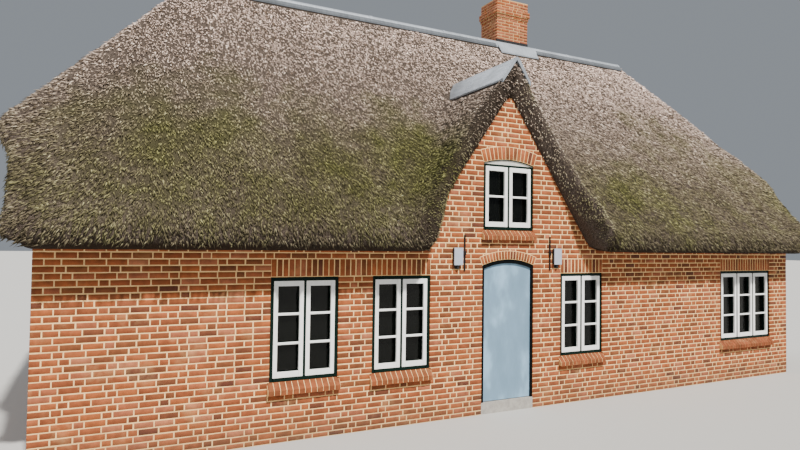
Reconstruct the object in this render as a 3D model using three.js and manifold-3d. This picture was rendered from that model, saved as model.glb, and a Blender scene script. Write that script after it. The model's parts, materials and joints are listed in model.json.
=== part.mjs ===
import * as THREE from 'three';
import { mergeVertices } from 'three/addons/utils/BufferGeometryUtils.js';
import Module from 'manifold-3d';

const wasm = await Module();
wasm.setup();

// Driving dimensions in millimetres. X runs along the front, the front looks along -Y, and Z is up from
// the lowest ground, which is at the right corner of the front.
const HOUSE_LENGTH = 13240;
const HOUSE_DEPTH = 6000;
const WALL = 300;
const SEAT = 0.3; // gap kept between pieces that touch
const FLOOR_TOP = 170;
const LOFT_FLOOR_BOTTOM = 2420;
const LOFT_FLOOR_TOP = 2560;
const WALL_STOCK_TOP = 5600; // walls are cut down from this height by the thatch
const SKIRT = 2; // width of the lap between neighbouring cutters
const SKIRT_FADE = 5;
const OVERHEAD = 4000; // cutters reach this far above the thatch
const OVERCUT = 1; // cutters run this far past what they cut
const CURVE_SEGMENTS = 10;

// Main roof and its half hips
const RIDGE_Z = 6860;
const EAVE_Z = 2700; // top of the thatch at its outer edge
const RIDGE_LEFT = 4720; // the ridge runs this far from the middle to each side
const RIDGE_RIGHT = 5020;
const HIP_CORNER_Y = 2480; // half the width of the half hips at their eaves
const EAVE_OVERHANG = 450;
const VERGE_OVERHANG = 250;
const VERGE_TURN = 0.7; // share of the verge's run up to the half hip, past which it turns out to it
const HIP_OVERHANG = 420;
const THATCH = 520; // thickness measured plumb
const EAVE_EDGE = 160;
const EAVE_CUT = 200;
const ROUND_DROP = 50;
const ROUND_REACH = 60;
const SOFFIT_Z = 2420; // level underside of the eaves, from the wall out
const SOFFIT_LIP = 60; // the underside rises this much again to the outer edge
const SOFFIT_SOFTNESS = 150;

// Cross gable over the door
const GABLE_X = -380;
const GABLE_RIDGE_Z = 5370;
const GABLE_SLOPE = 1.446;
const GABLE_OVERHANG = 180;
const GABLE_WALL_REACH = 1000; // half the width of the wall piece over the door
const VERGE_SWEEP_START = 1000; // where the gable verge begins to sweep out to the eave
const VERGE_SWEEP_END = 1550;
const VALLEY_SOFTNESS = 300;
const LEFT_FOOT_START = 1200; // from here the foot of the left verge hangs lower
const LEFT_FOOT_SLOPE = 1.3;

// Door
const DOOR_WIDTH = 960;
const DOOR_SPRING = 2215;
const DOOR_RISE = 90;
const DOOR_FRAME = 30;
const DOOR_CROWN = 20; // the frame is this much deeper at its head than at its sides
const DOOR_FRAME_RECESS = 8;
const DOOR_LIP = 12;
const DOOR_LIP_DEPTH = 15;
const DOOR_GAP = 8;
const DOOR_LEAF = 45;
const DOOR_FRAME_DEPTH = DOOR_LIP_DEPTH + DOOR_GAP + DOOR_LEAF;
const DOOR_LEAF_BOTTOM = 180;
const DOOR_HEAD_CLEAR = 2330;
const HINGE_HEIGHTS = [400, 1150, 1900];
const KNUCKLE_RADIUS = 7;
const KNUCKLE_HEIGHT = 45;
const KNUCKLE_STAND = 8; // hinge axis past the inner face of the leaf
const PIN_RADIUS = 4;
const PIN_HEIGHT = 36;
const BORE_RADIUS = 4.6;
const HINGE_PLATE = 4;
const HINGE_PLATE_WIDTH = 28;
const HINGE_SIDES = 16;

// Windows: x is the centre, lights are casements side by side, rows are panes in each
const FRONT_WINDOWS = [
  { name: 'front_window_1', x: -3592, width: 912, lights: 2 },
  { name: 'front_window_2', x: -2196, width: 902, lights: 2 },
  { name: 'front_window_3', x: 1100, width: 902, lights: 2 },
  { name: 'front_window_4', x: 5318, width: 1502, lights: 3 },
];
const REAR_WINDOWS = [
  { name: 'rear_window_1', x: -4300, width: 912, lights: 2 },
  { name: 'rear_window_2', x: 0, width: 912, lights: 2 },
  { name: 'rear_window_3', x: 4300, width: 912, lights: 2 },
];
const GROUND_SILL = 760;
const GROUND_HEAD = 2080;
const GROUND_ROWS = 3;
const GABLE_WINDOW = { name: 'gable_window', x: -380, width: 940, lights: 2 };
const GABLE_SILL = 2750;
const GABLE_SPRING = 3765;
const GABLE_WINDOW_RISE = 70;
const GABLE_HEAD = 3750;
const LOFT_WINDOW = { width: 900, lights: 2 };
const LOFT_SILL = 2700;
const LOFT_HEAD = 3560;
const UPPER_ROWS = 2;
const WINDOW_RECESS = 30;
const JOINERY_DEPTH = 60;
const STILE = 103;
const MULLION = 141;
const TOP_RAIL = 122;
const BOTTOM_RAIL = 128;
const GLAZING_BAR = 45;
const GLASS = 6;
const GLASS_LAP = 20;

// Brick sills
const SILL_REACH = 24; // how far it runs past the window at each end
const SILL_PROUD = 66;
const SILL_DEPTH_IN = 110;
const SILL_FALL = 95;
const SILL_HEIGHT = 150;

// Chimney
const CHIMNEY_X = 1950;
const CHIMNEY_WIDTH = 805;
const CHIMNEY_FRONT = 40; // its front face stands just behind the ridge
const CHIMNEY_DEPTH = 600;
const CHIMNEY_TOP = 7850;
const CHIMNEY_BAND = 7450; // foot of the corbelled band: one course stands out a little, the next two more
const CHIMNEY_COURSE = 64;
const CHIMNEY_STEP_PROUD = 16;
const CHIMNEY_BAND_PROUD = 36;
const CHIMNEY_HEAD_PROUD = 5;
const FLUE_WIDTH = 420;
const FLUE_DEPTH = 280;
const FLUE_BOTTOM = 1000;

// Ridge caps
const CAP_THICKNESS = 28;
const CAP_WING = 130;
const CAP_CROWN = 70;
const CAP_CROWN_RISE = 67;
const APRON_FRONT = 250; // sheet round the foot of the stack
const APRON_REAR = 200;
const APRON_SIDE = 90;
const GABLE_CAP_WING = 260;
const GABLE_CAP_TAIL = 220; // runs this far into the main slope

// Fittings on the front wall
const LAMP_SPREAD = 930;
const LAMP_BOTTOM = 2220;
const LAMP_SIZE = [150, 60, 255];
const LAMP_FOOT = [64, 44, 60];
const ANCHOR_SPREAD = 800;
const ANCHOR_BOTTOM = 2135;
const ANCHOR_SIZE = [24, 16, 525];

// Finishes
function finish(color, roughness, metalness = 0) {
  return new THREE.MeshStandardMaterial({ color, roughness, metalness });
}
const BRICK = finish(0xb0563a, 0.9);
const THATCH_STRAW = finish(0x8a7560, 1);
const STONE = finish(0x8c8880, 0.9);
const TIMBER = finish(0x8f6f4a, 0.8);
const WHITE_PAINT = finish(0xe9ebe6, 0.5);
const DARK_PAINT = finish(0x14231c, 0.5);
const DOOR_PAINT = finish(0x9aabb8, 0.35);
const GLAZING = finish(0x1a2226, 0.05);
const CAP_SHEET = finish(0x8f9aa3, 0.6);
const IRON = finish(0x1c1c1e, 0.6, 0.8);
const LAMP_SHADE = finish(0xb9bfc4, 0.5);

const THROUGH_WALL = WALL + 2 * OVERCUT;
const FRONT = -HOUSE_DEPTH / 2;
const REAR = HOUSE_DEPTH / 2;
const END = HOUSE_LENGTH / 2;
const EAVE_Y = REAR + EAVE_OVERHANG;
const HIP_EAVE_X = END + HIP_OVERHANG;
const ROOF_SLOPE = (RIDGE_Z - EAVE_Z) / EAVE_Y;
const VALLEY_APEX = (RIDGE_Z - GABLE_RIDGE_Z) / ROOF_SLOPE;

const house = new THREE.Group();

// Adds one named piece to the house.
function place(name, geometry, material) {
  const mesh = new THREE.Mesh(geometry, material);
  mesh.name = name;
  house.add(mesh);
  return mesh;
}

// Merges the corners of a geometry and drops faces that have closed up to a line.
function weld(geometry) {
  const bare = geometry.clone();
  bare.deleteAttribute('normal');
  bare.deleteAttribute('uv');
  const merged = mergeVertices(bare, 1e-3);
  const index = merged.getIndex().array;
  const kept = [];
  for (let i = 0; i < index.length; i += 3) {
    const [a, b, c] = [index[i], index[i + 1], index[i + 2]];
    if (a !== b && b !== c && c !== a) {
      kept.push(a, b, c);
    }
  }
  merged.setIndex(kept);
  return merged;
}

function solid(geometry) {
  const merged = weld(geometry);
  return new wasm.Manifold(new wasm.Mesh({
    numProp: 3,
    vertProperties: new Float32Array(merged.getAttribute('position').array),
    triVerts: new Uint32Array(merged.getIndex().array),
  }));
}

function geometryOf(body) {
  const mesh = body.getMesh();
  const geometry = new THREE.BufferGeometry();
  geometry.setAttribute('position', new THREE.Float32BufferAttribute(mesh.vertProperties, 3));
  geometry.setIndex(Array.from(mesh.triVerts));
  geometry.computeVertexNormals();
  return geometry;
}

function join(...parts) {
  return parts.reduce((whole, part) => whole.add(part));
}

function cut(body, cutters) {
  return cutters.reduce((rest, cutter) => rest.subtract(cutter), body);
}

// A box between two corners.
function block(low, high) {
  const size = high.map((value, axis) => value - low[axis]);
  const geometry = new THREE.BoxGeometry(...size);
  geometry.translate(...low.map((value, axis) => value + size[axis] / 2));
  return geometry;
}

// A shape drawn in X and Z, set upright with its outer face at y and its depth going back along +Y.
function upright(shape, y, depth) {
  const geometry = new THREE.ExtrudeGeometry(shape, { depth, bevelEnabled: false, curveSegments: CURVE_SEGMENTS });
  geometry.rotateX(Math.PI / 2);
  geometry.translate(0, y + depth, 0);
  return geometry;
}

// A shape drawn in Y and Z, with its depth going along +X from x.
function sideways(shape, x, depth) {
  const geometry = new THREE.ExtrudeGeometry(shape, { depth, bevelEnabled: false, curveSegments: CURVE_SEGMENTS });
  geometry.rotateX(Math.PI / 2);
  geometry.rotateZ(Math.PI / 2);
  geometry.translate(x, 0, 0);
  return geometry;
}

function rectangle(x, width, bottom, top) {
  const outline = new THREE.Shape();
  outline.moveTo(x - width / 2, bottom);
  outline.lineTo(x + width / 2, bottom);
  outline.lineTo(x + width / 2, top);
  outline.lineTo(x - width / 2, top);
  outline.closePath();
  return outline;
}

// An opening with a segmental arch over it.
function archedOpening(x, width, bottom, spring, rise) {
  const half = width / 2;
  const radius = (half * half + rise * rise) / (2 * rise);
  const reach = Math.asin(half / radius);
  const outline = new THREE.Shape();
  outline.moveTo(x - half, bottom);
  outline.lineTo(x + half, bottom);
  outline.lineTo(x + half, spring);
  outline.absarc(x, spring + rise - radius, radius, Math.PI / 2 - reach, Math.PI / 2 + reach, false);
  outline.closePath();
  return outline;
}

// Roof heights

function softMax(a, b, softness) {
  const overlap = Math.max(0, softness - Math.abs(a - b));
  return Math.max(a, b) + (overlap * overlap) / (4 * softness);
}

// How far along a way a distance is, from 0 to 1.
function share(distance, whole) {
  return Math.min(1, Math.max(0, distance / whole));
}

function smoothStep(value, start, end) {
  const t = Math.min(1, Math.max(0, (value - start) / (end - start)));
  return t * t * (3 - 2 * t);
}

function ridgeReach(side) {
  return side < 0 ? RIDGE_LEFT : RIDGE_RIGHT;
}

// How far out a half hip's edge lies at a distance from the middle of the house in plan.
function hipReach(side, along) {
  const ridge = ridgeReach(side);
  return ridge + ((HIP_EAVE_X - ridge) * along) / HIP_CORNER_Y;
}

function bodyHeight(x, y) {
  const ridge = ridgeReach(x);
  const hipSlope = (ROOF_SLOPE * HIP_CORNER_Y) / (HIP_EAVE_X - ridge);
  const main = RIDGE_Z - ROOF_SLOPE * Math.abs(y);
  const hip = RIDGE_Z - hipSlope * (Math.abs(x) - ridge);
  return Math.min(main, hip);
}

function gableHeight(x) {
  return GABLE_RIDGE_Z - GABLE_SLOPE * Math.abs(x - GABLE_X);
}

function roofHeight(x, y) {
  return y > 0 ? bodyHeight(x, y) : softMax(bodyHeight(x, y), gableHeight(x), VALLEY_SOFTNESS);
}

// How far out the verges of the long slopes reach: straight up the slope, then out to the half hips.
function vergeReach(y) {
  const rise = share(EAVE_Y - Math.abs(y), EAVE_Y - HIP_CORNER_Y);
  return END + VERGE_OVERHANG + (HIP_OVERHANG - VERGE_OVERHANG) * smoothStep(rise, VERGE_TURN, 1);
}

// Distance in plan from the outer edge of the thatch, before the gable verge is drawn back.
function edgeDistance(x, y) {
  return Math.max(0, Math.min(EAVE_Y - Math.abs(y), vergeReach(y) - Math.abs(x)));
}

function topHeight(x, y, edge) {
  const short = Math.max(0, 1 - edge / ROUND_REACH);
  return roofHeight(x, y) - ROUND_DROP * short * short;
}

// The underside follows the top, except that it runs out level from the long walls under the eaves, and
// hangs lower at the foot of the gable's left verge.
function undersideHeight(x, y, edge) {
  const depth = EAVE_EDGE + (THATCH - EAVE_EDGE) * share(edge, EAVE_CUT);
  const along = Math.abs(y);
  const slope = bodyHeight(x, y) - depth;
  const soffit = SOFFIT_Z + SOFFIT_LIP * (1 - share(EAVE_Y - along, EAVE_CUT));
  const level = share(along - REAR + WALL, WALL) * share(vergeReach(y) - Math.abs(x), EAVE_CUT);
  const eaves = slope + Math.min(0, soffit - slope) * level;
  if (y > 0) {
    return eaves;
  }
  const foot = LEFT_FOOT_SLOPE * Math.max(0, GABLE_X - x - LEFT_FOOT_START);
  return softMax(eaves, gableHeight(x) - depth - foot, SOFFIT_SOFTNESS);
}

// Over the gable the front edge stands further back, so the plan is drawn back there.
function drawnBack(x, y) {
  const away = smoothStep(Math.abs(x - GABLE_X), VERGE_SWEEP_START, VERGE_SWEEP_END);
  const near = 1 - smoothStep(y, -EAVE_Y, FRONT + WALL);
  return y + (EAVE_OVERHANG - GABLE_OVERHANG) * (1 - away) * (y < FRONT + WALL ? near : 0);
}

// Plan lines of the thatch pieces

function sideLine(side, y) {
  const along = Math.abs(y);
  return along < HIP_CORNER_Y ? hipReach(side, along) : vergeReach(y);
}

function valleyReach(y) {
  return Math.max(0, (ROOF_SLOPE * Math.abs(y) - RIDGE_Z + GABLE_RIDGE_Z) / GABLE_SLOPE);
}

const EDGE_ROWS = [0, ROUND_REACH, EAVE_CUT];
const HIP_ROWS = [0, 70, 225].map((step) => HIP_CORNER_Y - step);
const MIDDLE_ROWS = [1850, 1520];
const UPPER_SLOPE_ROWS = [930, 620, 310, 0];
const SLOPE_ROWS = [
  ...EDGE_ROWS.map((step) => EAVE_Y - step), REAR, REAR - WALL, ...HIP_ROWS,
  ...MIDDLE_ROWS, VALLEY_APEX, ...UPPER_SLOPE_ROWS,
];
const LEFT_COLUMNS = 5; // evenly spaced columns of each slope, between the ones at its edges
const RIGHT_COLUMNS = 6;
const REAR_COLUMNS = 3;
const BAND = VALLEY_SOFTNESS / GABLE_SLOPE;
const VALLEY_COLUMNS = [0, 0.35, 0.7, 1].map((part) => BAND * part);
const GABLE_COLUMNS = [0, 0.08, 0.18, 0.32, 0.55, 0.78, 1];
const HIP_PARTS = [0, 0.25, 0.5, 0.75, 1];

// Stations from one x to another: chosen steps in from each end, and even ones between.
function stations(left, right, stepsLeft, between, stepsRight) {
  const from = left + stepsLeft[stepsLeft.length - 1];
  const to = right - stepsRight[stepsRight.length - 1];
  const inner = [];
  for (let i = 1; i <= between; i++) {
    inner.push(from + ((to - from) * i) / (between + 1));
  }
  return [
    ...stepsLeft.map((step) => left + step), ...inner, ...stepsRight.map((step) => right - step).reverse(),
  ];
}

// Each slope is a grid of plan points: rows run back along Y, and a row's points run along X. Edges that
// have a neighbour stand back from it by half a seat, and a row whose edges meet closes up to a point.
const HALF_SEAT = SEAT / 2;

function frontRows(until) {
  return SLOPE_ROWS.filter((y) => y >= until).map((y) => (y === 0 ? -HALF_SEAT : -y));
}

function frontLeft() {
  return frontRows(0).map((y) => {
    const left = -sideLine(-1, y) + HALF_SEAT;
    const right = GABLE_X - valleyReach(y) - HALF_SEAT;
    return stations(left, right, EDGE_ROWS, LEFT_COLUMNS, VALLEY_COLUMNS).map((x) => [x, y]);
  });
}

function frontRight() {
  return frontRows(0).map((y) => {
    const left = GABLE_X + valleyReach(y) + HALF_SEAT;
    const right = sideLine(1, y) - HALF_SEAT;
    return stations(left, right, VALLEY_COLUMNS, RIGHT_COLUMNS, EDGE_ROWS).map((x) => [x, y]);
  });
}

function gableSide(side) {
  return frontRows(VALLEY_APEX).map((y) => {
    const reach = Math.max(valleyReach(y) - HALF_SEAT, 0);
    const start = Math.min(HALF_SEAT, reach);
    const row = GABLE_COLUMNS.map((part) => [GABLE_X + side * (reach + (start - reach) * part), y]);
    return side < 0 ? row : row.reverse();
  });
}

function rearSlope() {
  return frontRows(0).reverse().map((y) => {
    const left = -sideLine(-1, y) + HALF_SEAT;
    const right = sideLine(1, y) - HALF_SEAT;
    return stations(left, right, EDGE_ROWS, REAR_COLUMNS, EDGE_ROWS).map((x) => [x, -y]);
  });
}

function hipEnd(side) {
  const lines = SLOPE_ROWS.filter((y) => y <= HIP_CORNER_Y).map((y) => [
    side * hipReach(side, y), Math.max(0, y - HALF_SEAT),
  ]);
  const columns = side < 0 ? lines : lines.reverse();
  return HIP_PARTS.map((part) => columns.map(([x, half]) => [x, half * (2 * part - 1)]));
}

function slopes() {
  return {
    thatch_front_left: frontLeft(),
    thatch_front_right: frontRight(),
    thatch_gable_left: gableSide(-1),
    thatch_gable_right: gableSide(1),
    thatch_rear: rearSlope(),
    thatch_left_half_hip: hipEnd(-1),
    thatch_right_half_hip: hipEnd(1),
  };
}

// The grid with a narrow skirt round it, so that neighbouring cutters overlap. The skirt carries a fade,
// which draws it away from the surface.
function skirted(grid) {
  const wide = grid.map((row) => {
    const [firstX, firstY] = row[0];
    const [lastX, lastY] = row[row.length - 1];
    return [[firstX - SKIRT, firstY, SKIRT_FADE], ...row, [lastX + SKIRT, lastY, SKIRT_FADE]];
  });
  const before = wide[0].map(([x, y]) => [x, y - SKIRT, SKIRT_FADE]);
  const after = wide[wide.length - 1].map(([x, y]) => [x, y + SKIRT, SKIRT_FADE]);
  return [before, ...wide, after];
}

// A closed shell over a grid of plan points, between a lower and an upper height.
function shell(grid, lower, upper) {
  const rows = grid.length - 1;
  const columns = grid[0].length - 1;
  const geometry = new THREE.BoxGeometry(1, 1, 1, columns, rows, 1);
  const position = geometry.getAttribute('position');
  for (let k = 0; k < position.count; k++) {
    const row = Math.round((position.getY(k) + 0.5) * rows);
    const column = Math.round((position.getX(k) + 0.5) * columns);
    const [x, planY, fade = 0] = grid[row][column];
    const edge = edgeDistance(x, planY);
    const y = drawnBack(x, planY);
    const height = position.getZ(k) > 0 ? upper(x, y, edge, fade) : lower(x, y, edge, fade);
    position.setXYZ(k, x, y, height);
  }
  return geometry;
}

// Everything above the underside of the thatch, which is what the wall tops are cut by.
const aboveUnderside = Object.values(slopes()).map((grid) => solid(shell(
  skirted(grid),
  (x, y, edge, fade) => undersideHeight(x, y, edge) - SEAT + fade,
  (x, y, edge) => topHeight(x, y, edge) + OVERHEAD,
)));

// Everything below the top of the thatch, which is what a cap's underside is cut by.
const belowTop = Object.values(slopes()).map((grid) => solid(shell(
  skirted(grid),
  () => LOFT_FLOOR_BOTTOM,
  (x, y, edge, fade) => topHeight(x, y, edge) + SEAT - fade,
)));

function stackBlock(grow) {
  const halfWidth = CHIMNEY_WIDTH / 2 + grow;
  const back = CHIMNEY_FRONT + CHIMNEY_DEPTH;
  return [CHIMNEY_X - halfWidth, CHIMNEY_FRONT - grow, CHIMNEY_X + halfWidth, back + grow];
}

function stackHole(bottom, top) {
  const [left, front, right, back] = stackBlock(SEAT);
  return solid(block([left, front, bottom], [right, back, top]));
}

function makeThatch() {
  const hole = stackHole(LOFT_FLOOR_TOP, CHIMNEY_TOP + OVERHEAD);
  for (const [name, grid] of Object.entries(slopes())) {
    const piece = shell(grid, undersideHeight, topHeight);
    const holes = name === 'thatch_rear' ? [hole] : [];
    place(name, geometryOf(cut(solid(piece), holes)), THATCH_STRAW);
  }
}

function makeFloors() {
  const x = END - WALL - SEAT;
  const y = REAR - WALL - SEAT;
  place('floor_slab', block([-x, -y, 0], [x, y, FLOOR_TOP]), STONE);
  const loft = solid(block([-x, -y, LOFT_FLOOR_BOTTOM], [x, y, LOFT_FLOOR_TOP]));
  const hole = stackHole(LOFT_FLOOR_BOTTOM - OVERCUT, LOFT_FLOOR_TOP + OVERCUT);
  place('loft_floor', geometryOf(cut(loft, [hole])), TIMBER);
}

function sillNotch(window, sill) {
  const half = window.width / 2 + SILL_REACH + SEAT;
  const low = [window.x - half, FRONT - OVERCUT, sill - SILL_HEIGHT - SEAT];
  return solid(block(low, [window.x + half, FRONT + SILL_DEPTH_IN + SEAT, sill]));
}

// The hole for a ground window through a wall whose outer or inner face is at y.
function groundOpening(window, y) {
  return solid(upright(rectangle(window.x, window.width, GROUND_SILL, GROUND_HEAD), y - OVERCUT, THROUGH_WALL));
}

function makeFrontWall() {
  const split = [GABLE_X - GABLE_WALL_REACH, GABLE_X + GABLE_WALL_REACH];
  const jambs = [GABLE_X - DOOR_WIDTH / 2, GABLE_X + DOOR_WIDTH / 2];
  const sides = [
    { name: 'front_wall_left', end: -END, split: split[0], jamb: jambs[0], windows: FRONT_WINDOWS.slice(0, 2) },
    { name: 'front_wall_right', end: END, split: split[1], jamb: jambs[1], windows: FRONT_WINDOWS.slice(2) },
  ];
  for (const { name, end, split: step, jamb, windows } of sides) {
    const outline = new THREE.Shape();
    outline.moveTo(end, 0);
    outline.lineTo(jamb, 0);
    outline.lineTo(jamb, DOOR_SPRING);
    outline.lineTo(step, DOOR_SPRING);
    outline.lineTo(step, WALL_STOCK_TOP);
    outline.lineTo(end, WALL_STOCK_TOP);
    outline.closePath();
    const notches = windows.map((window) => sillNotch(window, GROUND_SILL));
    const holes = windows.map((window) => groundOpening(window, FRONT));
    const wall = cut(solid(upright(outline, FRONT, WALL)), [...holes, ...notches, ...aboveUnderside]);
    place(name, geometryOf(wall), BRICK);
  }
}

// The wall over the door and round the gable window, with the arch that spans the doorway.
function makeGableWall() {
  const reach = GABLE_WALL_REACH - SEAT;
  const outline = rectangle(GABLE_X, 2 * reach, DOOR_SPRING + SEAT, WALL_STOCK_TOP);
  const opening = archedOpening(
    GABLE_WINDOW.x, GABLE_WINDOW.width, GABLE_SILL, GABLE_SPRING, GABLE_WINDOW_RISE,
  );
  const arch = archedOpening(GABLE_X, DOOR_WIDTH, DOOR_SPRING - DOOR_RISE, DOOR_SPRING, DOOR_RISE);
  const frameBack = FRONT + DOOR_FRAME_RECESS + DOOR_FRAME_DEPTH;
  const behind = block(
    [GABLE_X - DOOR_WIDTH / 2, frameBack, DOOR_SPRING - DOOR_RISE],
    [GABLE_X + DOOR_WIDTH / 2, FRONT + WALL + OVERCUT, DOOR_HEAD_CLEAR],
  );
  const wall = cut(solid(upright(outline, FRONT, WALL)), [
    solid(upright(opening, FRONT - OVERCUT, THROUGH_WALL)),
    solid(upright(arch, FRONT - OVERCUT, THROUGH_WALL)),
    solid(behind), sillNotch(GABLE_WINDOW, GABLE_SILL), ...aboveUnderside,
  ]);
  place('gable_wall', geometryOf(wall), BRICK);
}

function makeRearWall() {
  const outline = rectangle(0, HOUSE_LENGTH, 0, WALL_STOCK_TOP);
  const holes = REAR_WINDOWS.map((window) => groundOpening(window, REAR - WALL));
  const wall = cut(solid(upright(outline, REAR - WALL, WALL)), [...holes, ...aboveUnderside]);
  place('rear_wall', geometryOf(wall), BRICK);
}

function makeEndWalls() {
  for (const [name, x] of [['left_end_wall', -END], ['right_end_wall', END - WALL]]) {
    const outline = rectangle(0, 2 * (REAR - WALL - SEAT), 0, WALL_STOCK_TOP);
    const opening = rectangle(0, LOFT_WINDOW.width, LOFT_SILL, LOFT_HEAD);
    const hole = solid(sideways(opening, x - OVERCUT, THROUGH_WALL));
    place(name, geometryOf(cut(solid(sideways(outline, x, WALL)), [hole, ...aboveUnderside])), BRICK);
  }
}

// The panes of one window as flat shapes, row over row in each light.
function panesOf(window, bottom, head, rows) {
  const panes = [];
  const panesLeft = window.x - window.width / 2 + STILE;
  const paneWidth = (window.width - 2 * STILE - (window.lights - 1) * MULLION) / window.lights;
  const panesBottom = bottom + BOTTOM_RAIL;
  const paneHeight = (head - TOP_RAIL - panesBottom - (rows - 1) * GLAZING_BAR) / rows;
  for (let light = 0; light < window.lights; light++) {
    for (let row = 0; row < rows; row++) {
      const x = panesLeft + paneWidth / 2 + light * (paneWidth + MULLION);
      const z = panesBottom + row * (paneHeight + GLAZING_BAR);
      panes.push(rectangle(x, paneWidth, z, z + paneHeight));
    }
  }
  return panes;
}

// Places the joinery and the glass behind it; set turns a flat shape into a solid at a depth in the wall.
function makeWindow(window, outline, bottom, head, rows, set) {
  const panes = panesOf(window, bottom, head, rows);
  const holes = panes.map((pane) => solid(set(pane, WINDOW_RECESS - OVERCUT, JOINERY_DEPTH + 2 * OVERCUT)));
  const joinery = cut(solid(set(outline, WINDOW_RECESS, JOINERY_DEPTH)), holes);
  place(`${window.name}_frame`, geometryOf(joinery), WHITE_PAINT);

  const glassWidth = window.width - 2 * (STILE - GLASS_LAP);
  const glass = rectangle(
    window.x, glassWidth, bottom + BOTTOM_RAIL - GLASS_LAP, head - TOP_RAIL + GLASS_LAP,
  );
  place(`${window.name}_glass`, set(glass, WINDOW_RECESS + JOINERY_DEPTH + SEAT, GLASS), GLAZING);
}

function makeWindows() {
  const front = (shape, recess, depth) => upright(shape, FRONT + recess, depth);
  const rear = (shape, recess, depth) => upright(shape, REAR - recess - depth, depth);
  const left = (shape, recess, depth) => sideways(shape, -END + recess, depth);
  const right = (shape, recess, depth) => sideways(shape, END - recess - depth, depth);
  const inset = 2 * SEAT;
  const ground = [
    ...FRONT_WINDOWS.map((window) => [window, front]), ...REAR_WINDOWS.map((window) => [window, rear]),
  ];
  for (const [window, set] of ground) {
    const outline = rectangle(window.x, window.width - inset, GROUND_SILL + SEAT, GROUND_HEAD - SEAT);
    makeWindow(window, outline, GROUND_SILL, GROUND_HEAD, GROUND_ROWS, set);
  }
  const arched = archedOpening(
    GABLE_WINDOW.x, GABLE_WINDOW.width - inset, GABLE_SILL + SEAT, GABLE_SPRING - SEAT, GABLE_WINDOW_RISE,
  );
  makeWindow(GABLE_WINDOW, arched, GABLE_SILL, GABLE_HEAD, UPPER_ROWS, front);
  for (const [side, set] of [['left', left], ['right', right]]) {
    const window = { name: `${side}_loft_window`, x: 0, ...LOFT_WINDOW };
    const outline = rectangle(0, window.width - inset, LOFT_SILL + SEAT, LOFT_HEAD - SEAT);
    makeWindow(window, outline, LOFT_SILL, LOFT_HEAD, UPPER_ROWS, set);
  }
}

function makeSills() {
  const windows = [...FRONT_WINDOWS.map((window) => [window, GROUND_SILL]), [GABLE_WINDOW, GABLE_SILL]];
  for (const [window, sill] of windows) {
    const width = window.width + 2 * SILL_REACH;
    const section = new THREE.Shape();
    section.moveTo(FRONT - SILL_PROUD, sill - SILL_HEIGHT);
    section.lineTo(FRONT + SILL_DEPTH_IN, sill - SILL_HEIGHT);
    section.lineTo(FRONT + SILL_DEPTH_IN, sill - SEAT);
    section.lineTo(FRONT + WINDOW_RECESS, sill - SEAT);
    section.lineTo(FRONT - SILL_PROUD, sill - SILL_FALL);
    section.closePath();
    place(`${window.name}_sill`, sideways(section, window.x - width / 2, width), BRICK);
  }
}

// The doorway's arched outline drawn in by an inset, with its arch on the same centre.
function doorOutline(inset, bottom) {
  const half = DOOR_WIDTH / 2;
  const radius = (half * half + DOOR_RISE * DOOR_RISE) / (2 * DOOR_RISE);
  const centre = DOOR_SPRING + DOOR_RISE - radius;
  const spring = centre + Math.sqrt((radius - inset) ** 2 - (half - inset) ** 2);
  const rise = centre + radius - inset - spring;
  const drop = inset > SEAT ? DOOR_CROWN : 0;
  return archedOpening(GABLE_X, DOOR_WIDTH - 2 * inset, bottom, spring - drop, rise);
}

function post(radius, x, y, bottom, height) {
  const geometry = new THREE.CylinderGeometry(radius, radius, height, HINGE_SIDES);
  geometry.rotateX(Math.PI / 2);
  geometry.translate(x, y, bottom + height / 2);
  return solid(geometry);
}

// The hinges on the inner side: a knuckle with a pin on the frame, and a bored knuckle on the leaf above it.
function hingeParts() {
  const x = GABLE_X - DOOR_WIDTH / 2 + DOOR_FRAME + DOOR_GAP / 2;
  const innerFace = FRONT + DOOR_FRAME_RECESS + DOOR_FRAME_DEPTH;
  const y = innerFace + KNUCKLE_STAND;
  const plate = (left, right, bottom) => solid(block(
    [left, innerFace - HINGE_PLATE / 2, bottom], [right, innerFace + HINGE_PLATE, bottom + KNUCKLE_HEIGHT],
  ));
  const onFrame = [];
  const onLeaf = [];
  for (const bottom of HINGE_HEIGHTS) {
    const upper = bottom + KNUCKLE_HEIGHT + SEAT;
    onFrame.push(
      plate(x - HINGE_PLATE_WIDTH, x, bottom), post(KNUCKLE_RADIUS, x, y, bottom, KNUCKLE_HEIGHT),
      post(PIN_RADIUS, x, y, bottom, KNUCKLE_HEIGHT + PIN_HEIGHT),
    );
    const knuckle = join(
      post(KNUCKLE_RADIUS, x, y, upper, KNUCKLE_HEIGHT), plate(x, x + HINGE_PLATE_WIDTH, upper),
    );
    onLeaf.push(cut(knuckle, [post(BORE_RADIUS, x, y, upper - OVERCUT, PIN_HEIGHT + 2 * OVERCUT)]));
  }
  return { onFrame, onLeaf };
}

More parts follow.
